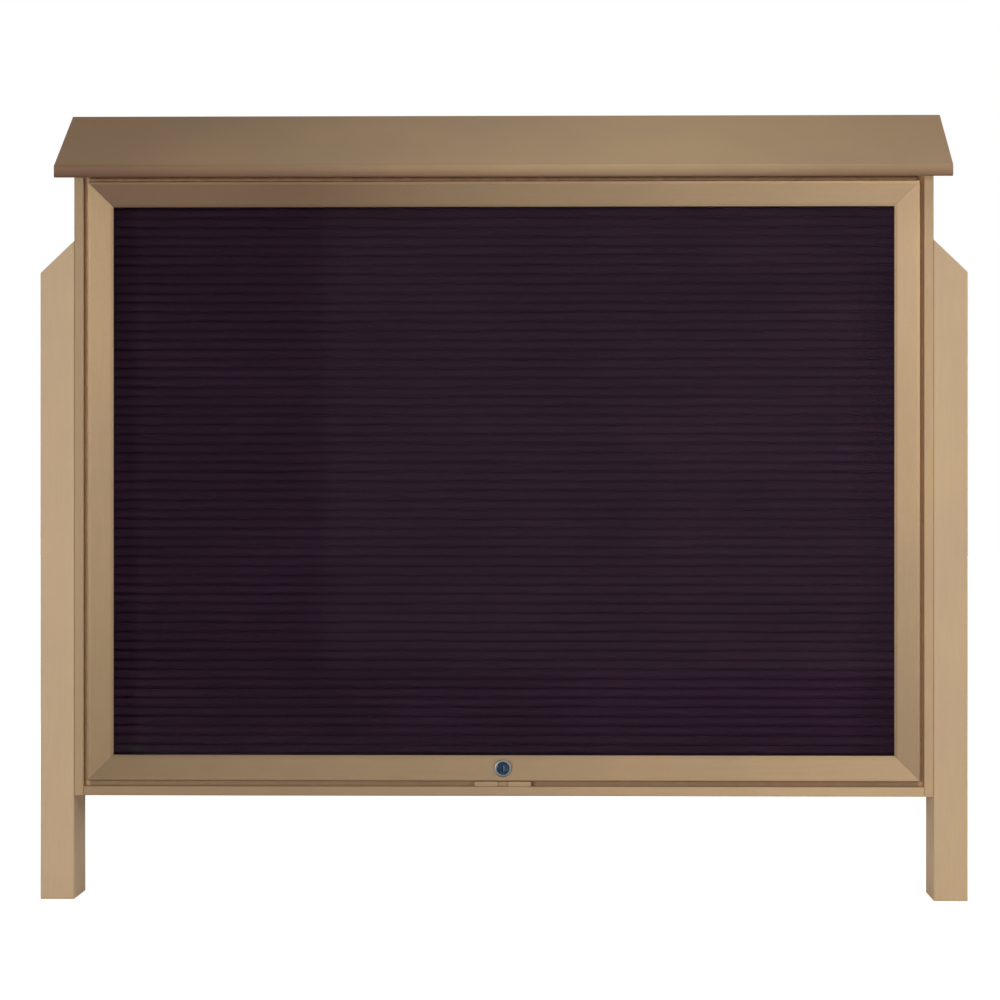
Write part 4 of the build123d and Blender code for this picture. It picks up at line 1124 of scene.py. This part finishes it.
class LETTERBOARD_OT_screws(BoardOperator):
    """Set the flat-headed screws in their holes"""

    bl_idname = "letterboard.screws"
    bl_label = "Screws"

    def execute(self, context):
        given = context.scene.letter_board
        steel = brushed_steel("screw_steel", given.colours.steel, grain=2, roughness=0.28)
        tree = screw_tree()
        for index, node in enumerate(SCREW_GROUPS):
            places = screw_places(node)
            points = bpy.data.meshes.new("screw_points")
            points.from_pydata([tuple(place[0]) for place in places], [], [])
            arrows = points.attributes.new("outward", "FLOAT_VECTOR", "POINT")
            arrows.data.foreach_set("vector", np.array([place[1] for place in places], np.float32).ravel())
            shape = screw_shape(places[0][2], places[0][3], given.sizes)
            mesh = grown_mesh(tree, {
                "Screw": shape, "Seed": given.sizes.screw_seed + index, "Material": steel}, points)
            bpy.data.objects.remove(shape)
            make_piece(mesh, f"{node}_driven", node, steel)
        return {"FINISHED"}


class LETTERBOARD_OT_hardware(BoardOperator):
    """Finish the bolts, the hinge, the brackets and the steel pieces of the lock"""

    bl_idname = "letterboard.hardware"
    bl_label = "Steel hardware"

    def execute(self, context):
        given = context.scene.letter_board
        # Painted shade on the hinge's upper part, under the roof's nose.
        under_nose_shade = along("Z", given.painted_light.hinge_shade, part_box("door_top_rail")[1].z)
        steel = brushed_steel("brushed_stainless", given.colours.steel, grain=0, roughness=0.26)
        bronze = satin_paint("bronze_finish", given.colours.bronze, roughness=0.40, worn=1.25, painted_light=[under_nose_shade])
        paint(STEEL_PIECES, steel)
        paint(HINGE_PIECES, bronze)
        return {"FINISHED"}


class LETTERBOARD_OT_lock(BoardOperator):
    """Turn the lock's bright ring and its dark plug"""

    bl_idname = "letterboard.lock"
    bl_label = "Lock"

    def execute(self, context):
        given = context.scene.letter_board
        low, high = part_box("lock_barrel")
        centre = Vector((0.0, low.y, (low.z + high.z) / 2))
        face_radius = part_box("lock_plug")[1].x
        chrome = polished_chrome("bright_chrome", tinted(given.colours.chrome, RING_TONE), roughness=0.30)
        ring = self.ring_profile(given.sizes, face_radius, high.x, high.y - low.y)
        self.lay("lock_ring", turned_shape(ring, TURNED_FACETS, closed=False), centre, "lock_barrel", chrome)
        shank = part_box("lock_plug")[1].y - low.y
        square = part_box("lock_cam")[0].y - low.y
        # Painted reflection: the plug's face is dark bluish chrome, standing in for the dark reflection it
        # shows.
        dark = polished_chrome("dark_chrome", given.colours.plug, roughness=0.16)
        plug = self.plug_profile(given.sizes, face_radius, shank, square)
        self.lay("lock_face", turned_shape(plug, TURNED_FACETS), centre, "lock_plug", dark)
        return {"FINISHED"}

    def ring_profile(self, sizes, face_radius, ring_radius, length):
        """The ring's rounded face, its bore for the plug and the barrel's thread, as rings."""
        play = sizes.plug_face_depth * FACE_PLAY
        face_bore = face_radius + play
        step = sizes.ring_rounding / ROUND_STEPS
        profile = [
            (sizes.plug_radius + play, -length), (sizes.plug_radius + play, -sizes.plug_face_depth - play),
            (face_bore, -sizes.plug_face_depth - play), (face_bore, -step), (face_bore + step, 0.0)]
        for i in range(ROUND_STEPS + 1):
            angle = math.pi / 2 * i / ROUND_STEPS
            profile.append((
                ring_radius - sizes.ring_rounding * (1 - math.sin(angle)),
                -sizes.ring_rounding * (1 - math.cos(angle))))
        profile += [(ring_radius, -sizes.ring_depth), (sizes.barrel_radius, -sizes.ring_depth)]
        root = sizes.barrel_radius - sizes.thread_pitch / 4
        for i in range(1, math.floor((length - sizes.ring_depth) / sizes.thread_pitch)):
            depth = -sizes.ring_depth - i * sizes.thread_pitch
            profile += [(sizes.barrel_radius, depth), (root, depth - sizes.thread_pitch / 2)]
        profile += [(root, -length), profile[0]]
        return [(radius, depth, None) for radius, depth in profile]

    def plug_profile(self, sizes, face_radius, shank, square):
        """The plug's square shank, its dished face and its key slot, as rings."""
        width, height, slot_depth = sizes.key_slot
        slot = (width / height, 1.0)
        dish = sizes.plug_face_depth * FACE_DISH
        shank_half = sizes.plug_radius * PLUG_SHANK
        return (
            (shank_half, -shank, SQUARE),
            (shank_half, -square, SQUARE),
            (sizes.plug_radius, -square, None),
            (sizes.plug_radius, -sizes.plug_face_depth, None),
            (face_radius, -sizes.plug_face_depth, None),
            (face_radius, -dish * 1.4, None),
            (face_radius * 0.98, -dish * 0.4, None),
            (face_radius * 0.94, 0.0, None),
            (face_radius * 0.86, 0.0, None),
            (face_radius * 0.82, -dish, None),
            (face_radius * 0.70, -dish * 1.5, None),
            (height * 0.55, -dish * 1.7, (slot[0] * 1.5, 1.0)),
            (height * 0.50, -dish * 2.2, slot),
            (height * 0.50, -slot_depth, slot))

    def lay(self, name, shape, centre, node, finish):
        """Lay a turned shape along the lock's line, with its face to the front, and put it in the scene."""
        for vertex in shape.verts:
            x, y, z = vertex.co
            vertex.co = centre + Vector((x, -z, y))
        bmesh.ops.remove_doubles(shape, verts=shape.verts, dist=MERGE_DISTANCE)
        make_piece(smooth_mesh(shape, name, TURNED_CREASE), name, node, finish)


class LETTERBOARD_OT_struts(BoardOperator):
    """Finish the two gas struts"""

    bl_idname = "letterboard.struts"
    bl_label = "Gas struts"

    def execute(self, context):
        colours = context.scene.letter_board.colours
        finishes = {
            "tube": satin_paint("strut_paint", colours.strut_paint, roughness=0.34),
            "guide": satin_paint("black_nylon", colours.strut_paint, roughness=0.45),
            "rod": polished_chrome("rod_chrome", colours.chrome, roughness=0.08),
        }
        finishes["piston"] = finishes["guide"]
        for piece, finish in finishes.items():
            paint([f"{side}_strut_{piece}" for side in SIDES], finish)
        return {"FINISHED"}


class LETTERBOARD_OT_stage(BoardOperator):
    """Set the floor, the soft lights and the camera"""

    bl_idname = "letterboard.stage"
    bl_label = "Stage"

    def execute(self, context):
        given = context.scene.letter_board.stage
        half = given.floor_size / 2
        corners = [(-half, -half, 0), (half, -half, 0), (half, half, 0), (-half, half, 0)]
        floor = bpy.data.meshes.new("floor")
        floor.from_pydata(corners, [], [(0, 1, 2, 3)])
        floor.materials.append(pale_floor(given.floor_lift, given.floor_near, given.floor_far))
        floor_piece = add_object("floor", floor)

        world = bpy.data.worlds.new("studio")
        world.use_nodes = True
        tree = world.node_tree
        tree.nodes.clear()
        skies = ((WHITE, 1.0), (WARM_WHITE, given.sky_strength), (WARM_WHITE, given.gloss_strength))
        seen, even, gloss = (
            add_node(tree, "ShaderNodeBackground", {"Color": colour, "Strength": strength}).outputs[0]
            for colour, strength in skies)
        ray = add_node(tree, "ShaderNodeLightPath").outputs
        room = mix_surfaces(tree, ray["Is Glossy Ray"], even, gloss)
        sky = mix_surfaces(tree, ray["Is Camera Ray"], room, seen)
        add_node(tree, "ShaderNodeOutputWorld", {"Surface": sky})
        context.scene.world = world

        for name, power, place, size in LAMPS:
            light = bpy.data.lights.new(name, "AREA")
            light.shape = "RECTANGLE"
            light.size, light.size_y = size
            light.energy = getattr(given, power)
            lamp = add_object(name, light)
            lamp.location = place
            aim = Vector(LAMP_TARGET) - Vector(place)
            lamp.rotation_euler = aim.to_track_quat("-Z", "Y").to_euler()
            lamp.visible_camera = False

        lens = bpy.data.cameras.new("camera")
        lens.lens = given.camera_lens
        lens.sensor_width = SENSOR_WIDTH
        camera = add_object("camera", lens)
        camera.location = given.camera_place
        camera.rotation_euler = (math.pi / 2, 0.0, given.camera_turn)
        context.scene.camera = camera
        context.scene.view_settings.view_transform = "Standard"
        return {"FINISHED"}


class LETTERBOARD_PT_sidebar(bpy.types.Panel):
    """Sidebar with the letter board's steps and settings"""

    bl_idname = "LETTERBOARD_PT_sidebar"
    bl_label = "Letter Board"
    bl_space_type = "VIEW_3D"
    bl_region_type = "UI"
    bl_category = "Letter Board"

    def draw(self, context):
        for step in STEPS:
            self.layout.operator(step.bl_idname)
        given = context.scene.letter_board
        for group in (given.sizes, given.colours, given.painted_light, given.stage):
            box = self.layout.box()
            for name in group.__annotations__:
                box.prop(group, name)


STEPS = (
    LETTERBOARD_OT_case_boards, LETTERBOARD_OT_door_frame, LETTERBOARD_OT_letter_board, LETTERBOARD_OT_window,
    LETTERBOARD_OT_door_seal, LETTERBOARD_OT_screws, LETTERBOARD_OT_hardware, LETTERBOARD_OT_lock,
    LETTERBOARD_OT_struts, LETTERBOARD_OT_stage,
)
CLASSES = (
    LetterBoardSizes, LetterBoardColours, LetterBoardPaintedLight, LetterBoardStage, LetterBoardSettings, *STEPS,
    LETTERBOARD_PT_sidebar,
)


def register():
    """Register the classes and the scene's settings."""
    for cls in CLASSES:
        bpy.utils.register_class(cls)
    bpy.types.Scene.letter_board = PointerProperty(type=LetterBoardSettings)


def unregister():
    """Remove the scene's settings and the classes."""
    del bpy.types.Scene.letter_board
    for cls in reversed(CLASSES):
        bpy.utils.unregister_class(cls)


def main():
    """Register the classes, dress the letter board and set the stage."""
    register()
    for step in STEPS:
        group, name = step.bl_idname.split(".")
        getattr(getattr(bpy.ops, group), name)()


if __name__ == "__main__":
    main()
